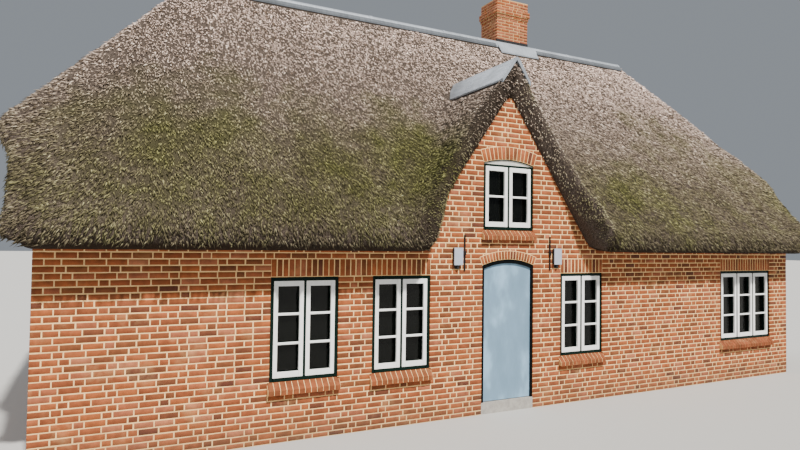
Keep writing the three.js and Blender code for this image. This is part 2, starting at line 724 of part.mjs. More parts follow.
function makeDoor() {
  const { onFrame, onLeaf } = hingeParts();
  const frameFront = FRONT + DOOR_FRAME_RECESS;
  const sillTop = FLOOR_TOP + SEAT;
  const outer = doorOutline(SEAT, sillTop);
  const ring = (width, depth) => {
    const inside = doorOutline(width, FLOOR_TOP - OVERCUT);
    const hole = solid(upright(inside, frameFront - OVERCUT, depth + 2 * OVERCUT));
    return cut(solid(upright(outer, frameFront, depth)), [hole]);
  };
  const frame = ring(DOOR_FRAME, DOOR_FRAME_DEPTH);
  const lip = ring(DOOR_FRAME + DOOR_LIP, DOOR_LIP_DEPTH);
  place('door_frame', geometryOf(join(frame, lip, ...onFrame)), DARK_PAINT);

  const leaf = doorOutline(DOOR_FRAME + DOOR_GAP, DOOR_LEAF_BOTTOM);
  const board = solid(upright(leaf, frameFront + DOOR_LIP_DEPTH + DOOR_GAP, DOOR_LEAF));
  place('door_leaf', geometryOf(join(board, ...onLeaf)), DOOR_PAINT);

  const half = DOOR_WIDTH / 2 - SEAT;
  place('door_sill', block([GABLE_X - half, FRONT, 0], [GABLE_X + half, FRONT + WALL, FLOOR_TOP]), STONE);
}

function makeChimney() {
  const [left, front, right, back] = stackBlock(0);
  const layer = (proud, bottom, top) => solid(block(
    [left - proud, front - proud, bottom], [right + proud, back + proud, top],
  ));
  const bandMiddle = CHIMNEY_BAND + CHIMNEY_COURSE;
  const bandTop = CHIMNEY_BAND + 3 * CHIMNEY_COURSE;
  const stack = join(
    layer(0, FLOOR_TOP + SEAT, CHIMNEY_TOP - OVERCUT),
    layer(CHIMNEY_STEP_PROUD, CHIMNEY_BAND, bandMiddle + OVERCUT),
    layer(CHIMNEY_BAND_PROUD, bandMiddle, bandTop),
    layer(CHIMNEY_HEAD_PROUD, bandTop - OVERCUT, CHIMNEY_TOP),
  );
  const middle = (front + back) / 2;
  const flue = block(
    [CHIMNEY_X - FLUE_WIDTH / 2, middle - FLUE_DEPTH / 2, FLUE_BOTTOM],
    [CHIMNEY_X + FLUE_WIDTH / 2, middle + FLUE_DEPTH / 2, CHIMNEY_TOP + OVERCUT],
  );
  place('chimney', geometryOf(cut(stack, [solid(flue)])), BRICK);
}

// A folded cap: a roof-shaped section with a rounded crown and a wing down each side of the ridge. Its
// underside lies at under from the thatch.
function capSection(ridge, slope, centre, [wing, otherWing], under) {
  const shoulder = ridge - slope * CAP_CROWN + 2 * CAP_THICKNESS;
  const edge = ridge - slope * wing;
  const otherEdge = ridge - slope * otherWing;
  const section = new THREE.Shape();
  section.moveTo(centre - wing, edge + under);
  section.lineTo(centre, ridge + under);
  section.lineTo(centre + otherWing, otherEdge + under);
  section.lineTo(centre + otherWing, otherEdge + CAP_THICKNESS);
  section.lineTo(centre + CAP_CROWN, shoulder);
  section.quadraticCurveTo(centre, ridge + CAP_CROWN_RISE, centre - CAP_CROWN, shoulder);
  section.lineTo(centre - wing, edge + CAP_THICKNESS);
  section.closePath();
  return section;
}

function makeCaps() {
  const along = capSection(RIDGE_Z, ROOF_SLOPE, 0, [CAP_WING, CAP_WING], SEAT);
  const cap = solid(sideways(along, -RIDGE_LEFT, RIDGE_LEFT + RIDGE_RIGHT));
  const [left, , right, back] = stackBlock(APRON_SIDE);
  const wings = [APRON_FRONT, back - APRON_SIDE + APRON_REAR];
  const apron = solid(sideways(capSection(RIDGE_Z, ROOF_SLOPE, 0, wings, SEAT), left, right - left));
  const hole = stackHole(LOFT_FLOOR_TOP, CHIMNEY_TOP);
  place('ridge_cap', geometryOf(cut(join(cap, apron), [hole])), CAP_SHEET);

  const front = FRONT - GABLE_OVERHANG;
  const run = GABLE_CAP_TAIL - VALLEY_APEX - front;
  const gableWings = [GABLE_CAP_WING, GABLE_CAP_WING];
  const section = capSection(GABLE_RIDGE_Z, GABLE_SLOPE, GABLE_X, gableWings, -CAP_THICKNESS);
  const gableCap = cut(solid(upright(section, front, run)), belowTop);
  place('gable_ridge_cap', geometryOf(gableCap), CAP_SHEET);
}

function makeFittings() {
  const wallFace = FRONT - SEAT;
  for (const [side, sign] of [['left', -1], ['right', 1]]) {
    const x = GABLE_X + sign * LAMP_SPREAD;
    const [width, depth, height] = LAMP_SIZE;
    const shade = block(
      [x - width / 2, wallFace - depth, LAMP_BOTTOM], [x + width / 2, wallFace, LAMP_BOTTOM + height],
    );
    const [footWidth, footDepth, footHeight] = LAMP_FOOT;
    const foot = block(
      [x - footWidth / 2, wallFace - footDepth, LAMP_BOTTOM - footHeight],
      [x + footWidth / 2, wallFace, LAMP_BOTTOM + OVERCUT],
    );
    place(`wall_lamp_${side}`, geometryOf(join(solid(shade), solid(foot))), LAMP_SHADE);

    const anchorX = GABLE_X + sign * ANCHOR_SPREAD;
    const [barWidth, barDepth, barHeight] = ANCHOR_SIZE;
    place(`wall_anchor_${side}`, block(
      [anchorX - barWidth / 2, wallFace - barDepth, ANCHOR_BOTTOM],
      [anchorX + barWidth / 2, wallFace, ANCHOR_BOTTOM + barHeight],
    ), IRON);
  }
}

makeFloors();
makeFrontWall();
makeGableWall();
makeRearWall();
makeEndWalls();
makeThatch();
makeCaps();
makeChimney();
makeDoor();
makeWindows();
makeSills();
makeFittings();

export default house;
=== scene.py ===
"""The looks of the thatched cottage, laid round its solids: brickwork, thatch, joinery and fittings."""
import json
import math

import bpy
import numpy as np
from bpy.props import FloatProperty, FloatVectorProperty, IntProperty, PointerProperty
from mathutils import Matrix, Vector, noise
from mathutils.bvhtree import BVHTree

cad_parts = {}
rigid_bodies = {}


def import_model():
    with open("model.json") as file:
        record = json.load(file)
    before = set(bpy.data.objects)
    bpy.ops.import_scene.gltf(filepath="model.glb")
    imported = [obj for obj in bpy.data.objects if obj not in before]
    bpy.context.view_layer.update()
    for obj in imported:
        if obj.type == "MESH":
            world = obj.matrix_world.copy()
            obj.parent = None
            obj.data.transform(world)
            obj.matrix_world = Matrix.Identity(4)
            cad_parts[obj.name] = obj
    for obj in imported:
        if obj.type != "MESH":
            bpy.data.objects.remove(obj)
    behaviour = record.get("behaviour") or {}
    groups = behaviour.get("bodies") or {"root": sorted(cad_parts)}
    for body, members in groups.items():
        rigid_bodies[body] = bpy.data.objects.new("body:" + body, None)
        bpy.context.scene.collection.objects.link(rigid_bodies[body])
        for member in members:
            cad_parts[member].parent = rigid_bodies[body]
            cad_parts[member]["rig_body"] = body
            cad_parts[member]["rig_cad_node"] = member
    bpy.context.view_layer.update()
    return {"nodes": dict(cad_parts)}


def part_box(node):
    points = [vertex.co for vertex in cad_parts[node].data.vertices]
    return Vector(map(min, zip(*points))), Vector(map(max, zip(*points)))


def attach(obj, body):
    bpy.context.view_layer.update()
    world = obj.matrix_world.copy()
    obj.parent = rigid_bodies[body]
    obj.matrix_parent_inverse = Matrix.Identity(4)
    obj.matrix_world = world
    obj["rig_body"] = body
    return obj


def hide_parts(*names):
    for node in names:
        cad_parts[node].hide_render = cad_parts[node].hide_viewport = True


bl_info = {
    "name": "Thatched cottage",
    "version": (1, 0, 0),
    "blender": (4, 5, 0),
    "location": "3D View > Sidebar > Cottage",
    "description": "Models the finish of a brick cottage with a thatched roof round its solids",
    "category": "Object",
}

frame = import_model()

HOUSE = "house"
SEED = 11
TINY = 1e-6

# The house in metres, as its solids have it
FRONT_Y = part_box("front_wall_left")[0].y
REAR_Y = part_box("rear_wall")[1].y
END_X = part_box("right_end_wall")[1].x
RIDGE_LEFT, RIDGE_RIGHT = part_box("ridge_cap")[0].x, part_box("ridge_cap")[1].x
GABLE_X = -0.38
DOOR_HALF, DOOR_SPRING, DOOR_RISE = 0.48, 2.215, 0.09
GABLE_HALF, GABLE_SPRING, GABLE_RISE = 0.47, 3.765, 0.07
GROUND_SILL, GROUND_HEAD = 0.76, 2.08
GABLE_SILL, GABLE_HEAD = 2.75, 3.75
LOFT_SILL, LOFT_HEAD = 2.70, 3.56
RIDGE_Z = 6.86
ROOF_SLOPE = (RIDGE_Z - 2.7) / 3.45
GABLE_RIDGE_Z, GABLE_SLOPE = 5.37, 1.446
THATCH_NODES = [
    "thatch_front_left", "thatch_front_right", "thatch_gable_left", "thatch_gable_right",
    "thatch_rear", "thatch_left_half_hip", "thatch_right_half_hip",
]
WALL_NODES = [
    "front_wall_left", "front_wall_right", "gable_wall", "rear_wall", "left_end_wall", "right_end_wall",
]

# Each wall as a turn about Z that takes a wall facing -Y to it, and how far its face stands from the middle
WALLS = {
    "front": (0.0, -FRONT_Y), "right": (math.pi / 2, END_X),
    "rear": (math.pi, REAR_Y), "left": (-math.pi / 2, END_X),
}


class Window:
    """A window's opening: its middle along its wall seen from outside, its size, its lights and panes."""

    def __init__(self, name, wall, x, width, sill, head, lights, rows):
        self.name, self.wall, self.x = name, wall, x
        self.left, self.right = x - width / 2, x + width / 2
        self.sill, self.head = sill, head
        self.lights, self.rows = lights, rows


WINDOWS = [
    Window("front_window_1", "front", -3.592, 0.912, GROUND_SILL, GROUND_HEAD, 2, 3),
    Window("front_window_2", "front", -2.196, 0.902, GROUND_SILL, GROUND_HEAD, 2, 3),
    Window("front_window_3", "front", 1.100, 0.902, GROUND_SILL, GROUND_HEAD, 2, 3),
    Window("front_window_4", "front", 5.318, 1.502, GROUND_SILL, GROUND_HEAD, 3, 3),
    Window("gable_window", "front", GABLE_X, 2 * GABLE_HALF, GABLE_SILL, GABLE_HEAD, 2, 2),
    Window("rear_window_1", "rear", 4.300, 0.912, GROUND_SILL, GROUND_HEAD, 2, 3),
    Window("rear_window_2", "rear", 0.000, 0.912, GROUND_SILL, GROUND_HEAD, 2, 3),
    Window("rear_window_3", "rear", -4.300, 0.912, GROUND_SILL, GROUND_HEAD, 2, 3),
    Window("left_loft_window", "left", 0.0, 0.900, LOFT_SILL, LOFT_HEAD, 2, 2),
    Window("right_loft_window", "right", 0.0, 0.900, LOFT_SILL, LOFT_HEAD, 2, 2),
]
FRONT_WINDOWS, GABLE_WINDOW = WINDOWS[:4], WINDOWS[4]


# Settings

def number_setting(name, description, default, **kind):
    return FloatProperty(name=name, description=description, default=default, **kind)


def length_setting(name, description, default):
    return number_setting(name, description, default, unit="LENGTH")


def angle_setting(name, description, degrees):
    return number_setting(name, description, math.radians(degrees), subtype="ANGLE")


def colour_setting(name, description, default):
    return FloatVectorProperty(
        name=name, description=description, default=default, size=3, min=0, max=1, subtype="COLOR",
    )


class CottageBrickSettings(bpy.types.PropertyGroup):
    """Sizes and colours of the brickwork."""

    course: length_setting("Course", "Height of a brick with its joint", 0.0775)
    stretcher: length_setting("Stretcher", "Length of a brick", 0.2048)
    header: length_setting("Header", "Width of a brick", 0.103)
    joint: length_setting("Joint", "Width of a mortar joint", 0.0132)
    proud: length_setting("Proud", "How far bricks stand out of the mortar", 0.0028)
    arris: length_setting("Arris", "Wear of a brick's outer edges", 0.0035)
    clay: colour_setting("Clay", "Colour of most bricks", (0.285, 0.077, 0.026))
    burnt: colour_setting("Burnt clay", "Colour of the darkest bricks", (0.125, 0.038, 0.020))
    pale: colour_setting("Pale clay", "Colour of the palest bricks", (0.40, 0.140, 0.065))
    brown: colour_setting("Brown clay", "Colour of the browner bricks", (0.205, 0.066, 0.022))
    orange: colour_setting("Orange clay", "Colour of the brightest bricks", (0.345, 0.096, 0.028))
    rose: colour_setting("Rose clay", "Colour of the pinker bricks", (0.325, 0.098, 0.044))
    mortar: colour_setting("Mortar", "Colour of the mortar", (1.0, 0.64, 0.29))


class CottageThatchSettings(bpy.types.PropertyGroup):
    """Sizes and colours of the thatch."""

    grain: length_setting("Grain", "Size of the coat's facets", 0.07)
    sway: length_setting("Sway", "How far the coat swells and sinks", 0.022)
    reeds: IntProperty(name="Reeds", description="Reed ends modelled on a square metre", default=940, min=10)
    reed_length: length_setting("Reed length", "Length of a reed end", 0.098)
    reed_width: length_setting("Reed width", "Width of a reed end", 0.025)
    straw: colour_setting("Straw", "Colour of weathered reed", (0.27, 0.212, 0.176))
    tips: colour_setting("Tips", "Colour of bleached reed", (0.66, 0.575, 0.49))
    shade: colour_setting("Shade", "Colour between the reeds", (0.040, 0.028, 0.018))
    moss: colour_setting("Moss", "Colour of the moss", (0.118, 0.120, 0.034))


class CottageJoinerySettings(bpy.types.PropertyGroup):
    """Sizes and colours of windows and door."""

    recess: length_setting("Recess", "How far windows stand back", 0.012)
    depth: length_setting("Depth", "Depth of the joinery", 0.078)
    frame_side: length_setting("Frame side", "Dark frame seen beside a casement", 0.047)
    stile: length_setting("Stile", "Width of a casement's stiles", 0.054)
    top_rail: length_setting("Top rail", "Height of a casement's top rail", 0.066)
    bottom_rail: length_setting("Bottom rail", "Height of a casement's bottom rail", 0.070)
    bar: length_setting("Glazing bar", "Width of a glazing bar", 0.031)
    white_depth: length_setting("White depth", "How deep the casements' white paint reaches", 0.034)
    gap: length_setting("Meeting gap", "Dark frame seen between casements", 0.034)
    frame_paint: colour_setting("Frame paint", "Colour of the outer frames", (0.003, 0.012, 0.009))
    white_paint: colour_setting("White paint", "Colour of the casements", (0.93, 0.94, 0.93))
    door_paint: colour_setting("Door paint", "Colour of the door leaf", (0.188, 0.302, 0.415))


class CottageRidgeSettings(bpy.types.PropertyGroup):
    """Sizes and colours of the ridge sheets."""

    lap_spacing: length_setting("Lap spacing", "Length of one sheet", 1.62)
    lap_width: length_setting("Lap width", "Width of the lap between sheets", 0.06)
    sheet: colour_setting("Sheet", "Colour of the sheet", (0.32, 0.355, 0.40))


class CottageStageSettings(bpy.types.PropertyGroup):
    """Floor, lights and camera."""

    floor: colour_setting("Floor", "Colour of the floor", (0.42, 0.42, 0.41))
    sky: colour_setting("Sky", "Colour of the surrounding light", (0.80, 0.87, 0.96))
    sky_strength: number_setting("Sky strength", "Strength of the surrounding light", 0.33)
    sun_strength: number_setting("Sun strength", "Strength of the main light", 8.4)
    sun_spread: angle_setting("Sun spread", "Apparent width of the main light", 2.5)
    fill_strength: number_setting("Fill strength", "Strength of the light from behind", 1.5)
    fill_spread: angle_setting("Fill spread", "Apparent width of the light from behind", 25)
    lens: number_setting("Lens", "Focal length in millimetres", 26.92)


SETTINGS = {
    "cottage_brick": CottageBrickSettings, "cottage_thatch": CottageThatchSettings,
    "cottage_joinery": CottageJoinerySettings, "cottage_ridge": CottageRidgeSettings,
    "cottage_stage": CottageStageSettings,
}


# Modelling helpers

def deselect():
    """Ends any edit and deselects all objects."""
    if bpy.context.object and bpy.context.object.mode != "OBJECT":
        bpy.ops.object.mode_set(mode="OBJECT")
    bpy.ops.object.select_all(action="DESELECT")


def only(piece):
    """Makes piece the only selected object and the active one."""
    deselect()
    piece.select_set(True)
    bpy.context.view_layer.objects.active = piece


def settle(piece):
    """Moves a piece's place into its mesh."""
    only(piece)
    bpy.ops.object.transform_apply(location=True, rotation=True, scale=True)
    return piece


def link(name, data):
    """A new object in the scene."""
    piece = bpy.data.objects.new(name, data)
    bpy.context.scene.collection.objects.link(piece)
    return piece


def named(piece, name):
    """Gives an object and its mesh their name."""
    piece.name = name
    piece.data.name = name
    return piece


def begin_block(low, high):
    """A box between two corners, left open in edit mode with nothing selected."""
    deselect()
    low, high = Vector(low), Vector(high)
    bpy.ops.mesh.primitive_cube_add(size=1, location=(low + high) / 2)
    piece = bpy.context.object
    piece.scale = high - low
    settle(piece)
    bpy.ops.object.mode_set(mode="EDIT")
    bpy.ops.mesh.select_all(action="DESELECT")
    return piece


def begin_edit(piece):
    """Opens a piece in edit mode with all of it selected."""
    only(piece)
    bpy.ops.object.mode_set(mode="EDIT")
    bpy.ops.mesh.select_all(action="SELECT")


def end_edit():
    bpy.ops.object.mode_set(mode="OBJECT")
    return bpy.context.object


def pick(piece, kind, test):
    """Selects the vertices, edges or faces of the mesh in edit mode whose middle passes the test."""
    bpy.ops.mesh.select_all(action="DESELECT")
    bpy.ops.object.mode_set(mode="OBJECT")
    mesh = piece.data
    if kind == "FACE":
        for face in mesh.polygons:
            face.select = test(face.center, face.normal)
    elif kind == "EDGE":
        for edge in mesh.edges:
            first, last = (mesh.vertices[v].co for v in edge.vertices)
            edge.select = test((first + last) / 2, last - first)
    else:
        for vertex in mesh.vertices:
            vertex.select = test(vertex.co)
    bpy.ops.object.mode_set(mode="EDIT")
    bpy.ops.mesh.select_mode(type=kind)


def ease(offset, segments):
    """Bevels the selected edges."""
    bpy.ops.mesh.bevel(offset=offset, segments=segments, affect="EDGES")


def bar(low, high, arris=0.003, segments=2):
    """A planed bar with eased arrises."""
    begin_block(low, high)
    bpy.ops.mesh.select_all(action="SELECT")
    ease(arris, segments)
    return end_edit()


def turn_outwards(piece):
    """Turns the faces of a closed piece outwards."""
    begin_edit(piece)
    bpy.ops.mesh.normals_make_consistent(inside=False)
    end_edit()


def apply_modifier(piece, modifier):
    """Makes a modifier's result the piece's mesh."""
    only(piece)
    bpy.ops.object.modifier_apply(modifier=modifier.name)


def join(pieces, name):
    """Joins objects into one mesh piece."""
    deselect()
    for piece in pieces:
        piece.select_set(True)
    bpy.context.view_layer.objects.active = pieces[0]
    if len(pieces) > 1:
        bpy.ops.object.join()
    return named(bpy.context.object, name)


def dress(piece, material, body=HOUSE):
    """Gives a finished piece its material and the body it rides on."""
    piece.data.materials.clear()
    piece.data.materials.append(finish(material))
    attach(piece, body)
    return piece


def repaint(node, material):
    """Puts a material on a solid that stays as it is."""
    mesh = frame["nodes"][node].data
    mesh.materials.clear()
    mesh.materials.append(finish(material))


def wall_place(wall):
    """The matrix that takes a point drawn on a wall facing -Y, with its face at y = 0, to its wall."""
    turn, reach = WALLS[wall]
    return Matrix.Rotation(turn, 4, "Z") @ Matrix.Translation((0, -reach, 0))


def moved(points, matrix):
    """An array of points taken through a matrix."""
    matrix = np.array(matrix)
    return points @ matrix[:3, :3].T + matrix[:3, 3]


def repeated(faces, count, corners):
    """The faces of many copies of a shape that has so many corners."""
    return (faces[None] + np.arange(count)[:, None, None] * corners).reshape(-1, faces.shape[1])


def store(mesh, values):
    """Keeps values by point as attributes of the mesh."""
    for key, given in values.items():
        flat = np.asarray(given, np.float32).ravel()
        mesh.attributes.new(key, "FLOAT", "POINT").data.foreach_set("value", flat)


def drawn(name, points, faces):
    """A piece from lists of points and faces."""
    mesh = bpy.data.meshes.new(name)
    mesh.from_pydata(points, [], faces)
    return link(name, mesh)


def mesh_piece(name, points, faces, values):
    """A mesh of many like shapes from arrays: points, faces of as many corners each, and values by point."""
    corners = faces.shape[1]
    mesh = bpy.data.meshes.new(name)
    mesh.vertices.add(len(points))
    mesh.vertices.foreach_set("co", points.astype(np.float32).ravel())
    mesh.loops.add(faces.size)
    mesh.loops.foreach_set("vertex_index", faces.astype(np.int32).ravel())
    mesh.polygons.add(len(faces))
    mesh.polygons.foreach_set("loop_start", np.arange(len(faces), dtype=np.int32) * corners)
    mesh.update(calc_edges=True)
    store(mesh, values)
    return link(name, mesh)


def place_points(mesh, points):
    """Puts the mesh's vertices at an array of points."""
    mesh.vertices.foreach_set("co", points.astype(np.float32).ravel())
    mesh.update()


def corner_arrays(piece):
    """A small mesh's points as an array and its faces as lists. The mesh is then cleared away."""
    points = np.array([vertex.co for vertex in piece.data.vertices])
    faces = [list(face.vertices) for face in piece.data.polygons]
    bpy.data.objects.remove(piece)
    return points, faces


def vertex_arrays(mesh):
    """The mesh's vertices and their normals as arrays."""
    arrays = []
    for key in ("co", "normal"):
        values = np.zeros(len(mesh.vertices) * 3, np.float32)
        mesh.vertices.foreach_get(key, values)
        arrays.append(values.reshape(-1, 3).astype(float))
    return arrays


def tree_of(nodes):
    """A tree for casting rays at the solids of some nodes."""
    points, faces = [], []
    for node in nodes:
        mesh = frame["nodes"][node].data
        start = len(points)
        points.extend(vertex.co.copy() for vertex in mesh.vertices)
        faces.extend([start + v for v in face.vertices] for face in mesh.polygons)
    return BVHTree.FromPolygons(points, faces)


# Finishes

class Finish:
    """A material in the making: its nodes, its shader and short ways to add to them."""

    def __init__(self, name, roughness, metallic=0.0, specular=0.5):
        self.material = bpy.data.materials.new(name)
        self.material.use_nodes = True
        self.nodes = self.material.node_tree.nodes
        self.links = self.material.node_tree.links
        self.shader = self.nodes["Principled BSDF"]
        self.set("Roughness", roughness)
        self.set("Metallic", metallic)
        self.set("Specular IOR Level", specular)
        self.place = self.nodes.new("ShaderNodeTexCoord").outputs["Object"]

    def set(self, name, value):
        """A value or colour that is the same all over the surface."""
        self.shader.inputs[name].default_value = value

    def feed(self, socket, given):
        """Links a socket to another, or gives it a number or a colour."""
        if isinstance(given, bpy.types.NodeSocket):
            self.links.new(given, socket)
        elif hasattr(given, "__len__"):
            socket.default_value = tuple(given) + (1.0,)
        else:
            socket.default_value = given

    def stretch(self, scale):
        """The place on the piece, stretched along the axes."""
        node = self.nodes.new("ShaderNodeMapping")
        node.inputs["Scale"].default_value = scale
        self.feed(node.inputs["Vector"], self.place)
        return node.outputs["Vector"]

    def noise(self, scale, detail=3.0, roughness=0.55, vector=None):
        node = self.nodes.new("ShaderNodeTexNoise")
        self.feed(node.inputs["Scale"], scale)
        self.feed(node.inputs["Detail"], detail)
        self.feed(node.inputs["Roughness"], roughness)
        self.feed(node.inputs["Vector"], vector or self.place)
        return node.outputs["Fac"]

    def value(self, name):
        """A value that the mesh keeps by point."""
        node = self.nodes.new("ShaderNodeAttribute")
        node.attribute_name = name
        return node.outputs["Fac"]

    def ramp(self, factor, stops):
        node = self.nodes.new("ShaderNodeValToRGB")
        stops = [(at, tuple(c) + (1.0,) if hasattr(c, "__len__") else (c, c, c, 1.0)) for at, c in stops]
        elements = node.color_ramp.elements
        for element, (at, colour) in zip(list(elements), (stops[0], stops[-1])):
            element.position, element.color = at, colour
        for at, colour in stops[1:-1]:
            elements.new(at).color = colour
        self.feed(node.inputs["Fac"], factor)
        return node.outputs["Color"]

    def mix(self, factor, first, second, blend="MIX"):
        node = self.nodes.new("ShaderNodeMix")
        node.data_type = "RGBA"
        node.blend_type = blend
        # A Mix node's sockets for colours come after those for numbers and vectors
        for socket, given in ((0, factor), (6, first), (7, second)):
            self.feed(node.inputs[socket], given)
        return node.outputs[2]

    def math(self, operation, first, second):
        node = self.nodes.new("ShaderNodeMath")
        node.operation = operation
        self.feed(node.inputs[0], first)
        self.feed(node.inputs[1], second)
        return node.outputs[0]

    def height(self):
        """The height of the place on the piece."""
        node = self.nodes.new("ShaderNodeSeparateXYZ")
        self.feed(node.inputs[0], self.place)
        return node.outputs["Z"]

    def bump(self, height, strength, distance):
        node = self.nodes.new("ShaderNodeBump")
        self.feed(node.inputs["Strength"], strength)
        self.feed(node.inputs["Distance"], distance)
        self.feed(node.inputs["Height"], height)
        self.feed(self.shader.inputs["Normal"], node.outputs["Normal"])

    def tones(self, pattern, colour, dark, light):
        """A colour that a pattern takes from one share of it to another."""
        return self.ramp(pattern, [(0.3, Vector(colour) * dark), (0.7, Vector(colour) * light)])

    def shaded(self, colour, pattern, dark, light, low=0.3, high=0.7):
        """A pattern multiplied over a colour."""
        return self.mix(1.0, colour, self.ramp(pattern, [(low, dark), (high, light)]), "MULTIPLY")

    def damp(self, colour, most, top, stain):
        """A colour with a damp stain at the foot of the walls, of wandering height."""
        wander = self.math("MULTIPLY", self.noise(3.5, 4), 0.35)
        share = self.ramp(self.math("ADD", self.height(), wander), [(0.16, most), (top, 0.0)])
        return self.mix(share, colour, stain)

    def colour(self, socket):
        self.feed(self.shader.inputs["Base Color"], socket)
        return self.material


def finish(name):
    """The named finish, made the first time that it is asked for."""
    return bpy.data.materials.get(name) or FINISHES[name](name)


def make_brick(name):
    """Fired clay whose tone differs by brick, with smears, specks, a pale bloom and a damp foot."""
    brick = bpy.context.scene.cottage_brick
    made = Finish(name, 0.88, specular=0.3)
    clay = made.ramp(made.value("tone"), [
        (0.0, brick.burnt), (0.22, brick.brown), (0.38, Vector(brick.clay) * 0.84), (0.52, brick.clay),
        (0.66, brick.orange), (0.82, brick.rose), (1.0, brick.pale),
    ])
    smears, specks = made.noise(9, 4, 0.6), made.noise(260, 2)
    clay = made.shaded(clay, smears, 0.72, 1.12, 0.35, 0.65)
    clay = made.shaded(clay, specks, 0.82, 1.15)
    bloom = made.ramp(made.noise(2.3, 5, 0.65), [(0.56, 0.0), (0.8, 0.22)])
    clay = made.damp(made.mix(bloom, clay, brick.mortar), 0.36, 0.62, (0.075, 0.058, 0.036))
    made.bump(made.noise(210, 3, 0.7), 0.55, 0.0025)
    return made.colour(clay)


def make_mortar(name, share=1.0):
    """Lime mortar with grit, damp at its foot. Share darkens it."""
    made = Finish(name, 0.95, specular=0.2)
    lime = Vector(bpy.context.scene.cottage_brick.mortar) * share
    patches, grit = made.noise(5, 5, 0.65), made.noise(330, 2)
    lime = made.shaded(made.tones(patches, lime, 0.72, 1.08), grit, 0.84, 1.1)
    lime = made.damp(lime, 0.38, 0.66, (0.10, 0.082, 0.055))
    made.bump(made.noise(260, 3, 0.7), 0.6, 0.002)
    return made.colour(lime)


def thatch_colours():
    """The colours between the reeds, of straw, of moss and of the reeds' tips."""
    thatch = bpy.context.scene.cottage_thatch
    return [Vector(colour) for colour in (thatch.shade, thatch.straw, thatch.moss, thatch.tips)]


def make_thatch(name):
    """The coat between the reed ends, dark as painted shade between them."""
    shade, straw, moss, _ = thatch_colours()
    made = Finish(name, 0.95, specular=0.15)
    flecks = made.noise(75, 4, 0.7)
    # The coat's dark flecks are painted shade between the reeds
    dry = made.ramp(flecks, [(0.36, shade * 0.5), (0.56, straw * 0.34), (0.76, straw * 0.85)])
    green = made.ramp(flecks, [(0.36, moss * 0.15), (0.56, moss * 0.45), (0.76, moss)])
    # Painted shade and damp turn the coat to the shade colour
    coat = made.mix(made.value("gloom"), made.mix(made.value("moss"), dry, green), shade * 0.55)
    made.bump(flecks, 0.9, 0.02)
    return made.colour(coat)


def make_reed(name):
    """Reed that is dark at its foot as painted shade and pale at its tip, more bleached towards the ridge."""
    shade, straw, moss, tips = thatch_colours()
    made = Finish(name, 0.85, specular=0.25)
    tone = made.value("tone")
    # The ramp's dark foot is painted shade where the reeds sink among others
    dry = made.ramp(tone, [(0.0, shade * 1.4), (0.3, straw * 0.75), (0.65, straw), (1.0, tips)])
    green = made.ramp(tone, [(0.0, moss * 0.3), (0.45, moss), (1.0, moss * 2.6)])
    # The ramp's places are shares of a height of 8 m
    bleach = made.ramp(made.math("DIVIDE", made.height(), 8.0), [
        (0.33, (0.54, 0.57, 0.42)), (0.45, (0.76, 0.79, 0.62)),
        (0.60, (1.5, 1.48, 1.46)), (0.78, (2.9, 2.83, 2.95)),
    ])
    dry = made.mix(1.0, dry, bleach, "MULTIPLY")
    # Painted shade and damp turn the reed to the shade colour
    reed = made.mix(made.value("gloom"), made.mix(made.value("moss"), dry, green), shade)
    streaks = made.noise(120, 2)
    return made.colour(made.shaded(reed, streaks, 0.8, 1.15))


def make_sheet(name):
    """Dull weathered metal sheet."""
    return sheet_looks(Finish(name, 0.55, 0.35), 1.0)


def make_painted_shade_sheet(name):
    """Sheet made dark and matt as painted shade, as along the lower wings of the ridge sheet."""
    return sheet_looks(Finish(name, 0.92, specular=0.05), 0.38)


def sheet_looks(made, share):
    """Sheet in patches and runs. Share darkens it."""
    patches, runs = made.noise(2.2, 5, 0.6), made.noise(9, 4, 0.6, made.stretch((6, 0.6, 0.6)))
    sheet = made.tones(patches, Vector(bpy.context.scene.cottage_ridge.sheet) * share, 0.72, 1.12)
    made.bump(made.noise(14, 3), 0.25, 0.004)
    return made.colour(made.shaded(sheet, runs, 0.82, 1.06, 0.35, 0.65))


def paint_looks(made, paint, dark, light):
    """Brushed paint with fine upright runs."""
    runs = made.noise(22, 4, 0.6, made.stretch((3, 3, 0.25)))
    made.bump(made.noise(90, 3), 0.12, 0.001)
    return made.colour(made.shaded(paint, runs, dark, light))


def make_paint(name, colour, roughness, wear=0.12):
    """Satin paint. Dark paint shines less, so that it stays dark."""
    made = Finish(name, roughness, specular=0.2 if max(colour) > 0.1 else 0.08)
    paint = made.tones(made.noise(6, 5, 0.6), colour, 1 - wear, 1 + wear * 0.4)
    return paint_looks(made, paint, 0.93, 1.02)


def make_door_paint_and_painted_light(name):
    """The door's paint, with soft upright pale patches that are painted light."""
    made = Finish(name, 0.3, specular=0.2)
    base = Vector(bpy.context.scene.cottage_joinery.door_paint)
    patches = made.noise(2.1, 3, 0.5, made.stretch((1.7, 1.7, 0.8)))
    # The pale patches are painted pools of light on the door
    paint = made.ramp(patches, [(0.36, base * 0.86), (0.52, base * 0.97), (0.70, base * 1.5)])
    return paint_looks(made, paint, 0.95, 1.03)


def make_glass(name):
    """Thin panes, slightly uneven, tinted nearly black as painted shade of the dark rooms behind them."""
    made = Finish(name, 0.03, specular=0.12)
    # The near black tint is painted shade
    made.set("Base Color", (0.03, 0.035, 0.03, 1))
    made.set("Transmission Weight", 0.92)
    made.set("IOR", 1.28)
    made.bump(made.noise(3.2, 2), 0.12, 0.004)
    return made.material


def make_boards(name):
    """Sawn boards along X."""
    made = Finish(name, 0.7)
    grain = made.noise(7, 6, 0.65, made.stretch((0.35, 7, 7)))
    made.bump(grain, 0.3, 0.002)
    return made.colour(made.ramp(grain, [(0.3, (0.20, 0.12, 0.065)), (0.7, (0.42, 0.29, 0.17))]))


def make_stone(name, colour):
    """Stone or concrete."""
    made = Finish(name, 0.9)
    clouds = made.noise(12, 6, 0.65)
    made.bump(made.noise(70, 5, 0.7), 0.4, 0.003)
    return made.colour(made.tones(clouds, colour, 0.7, 1.15))


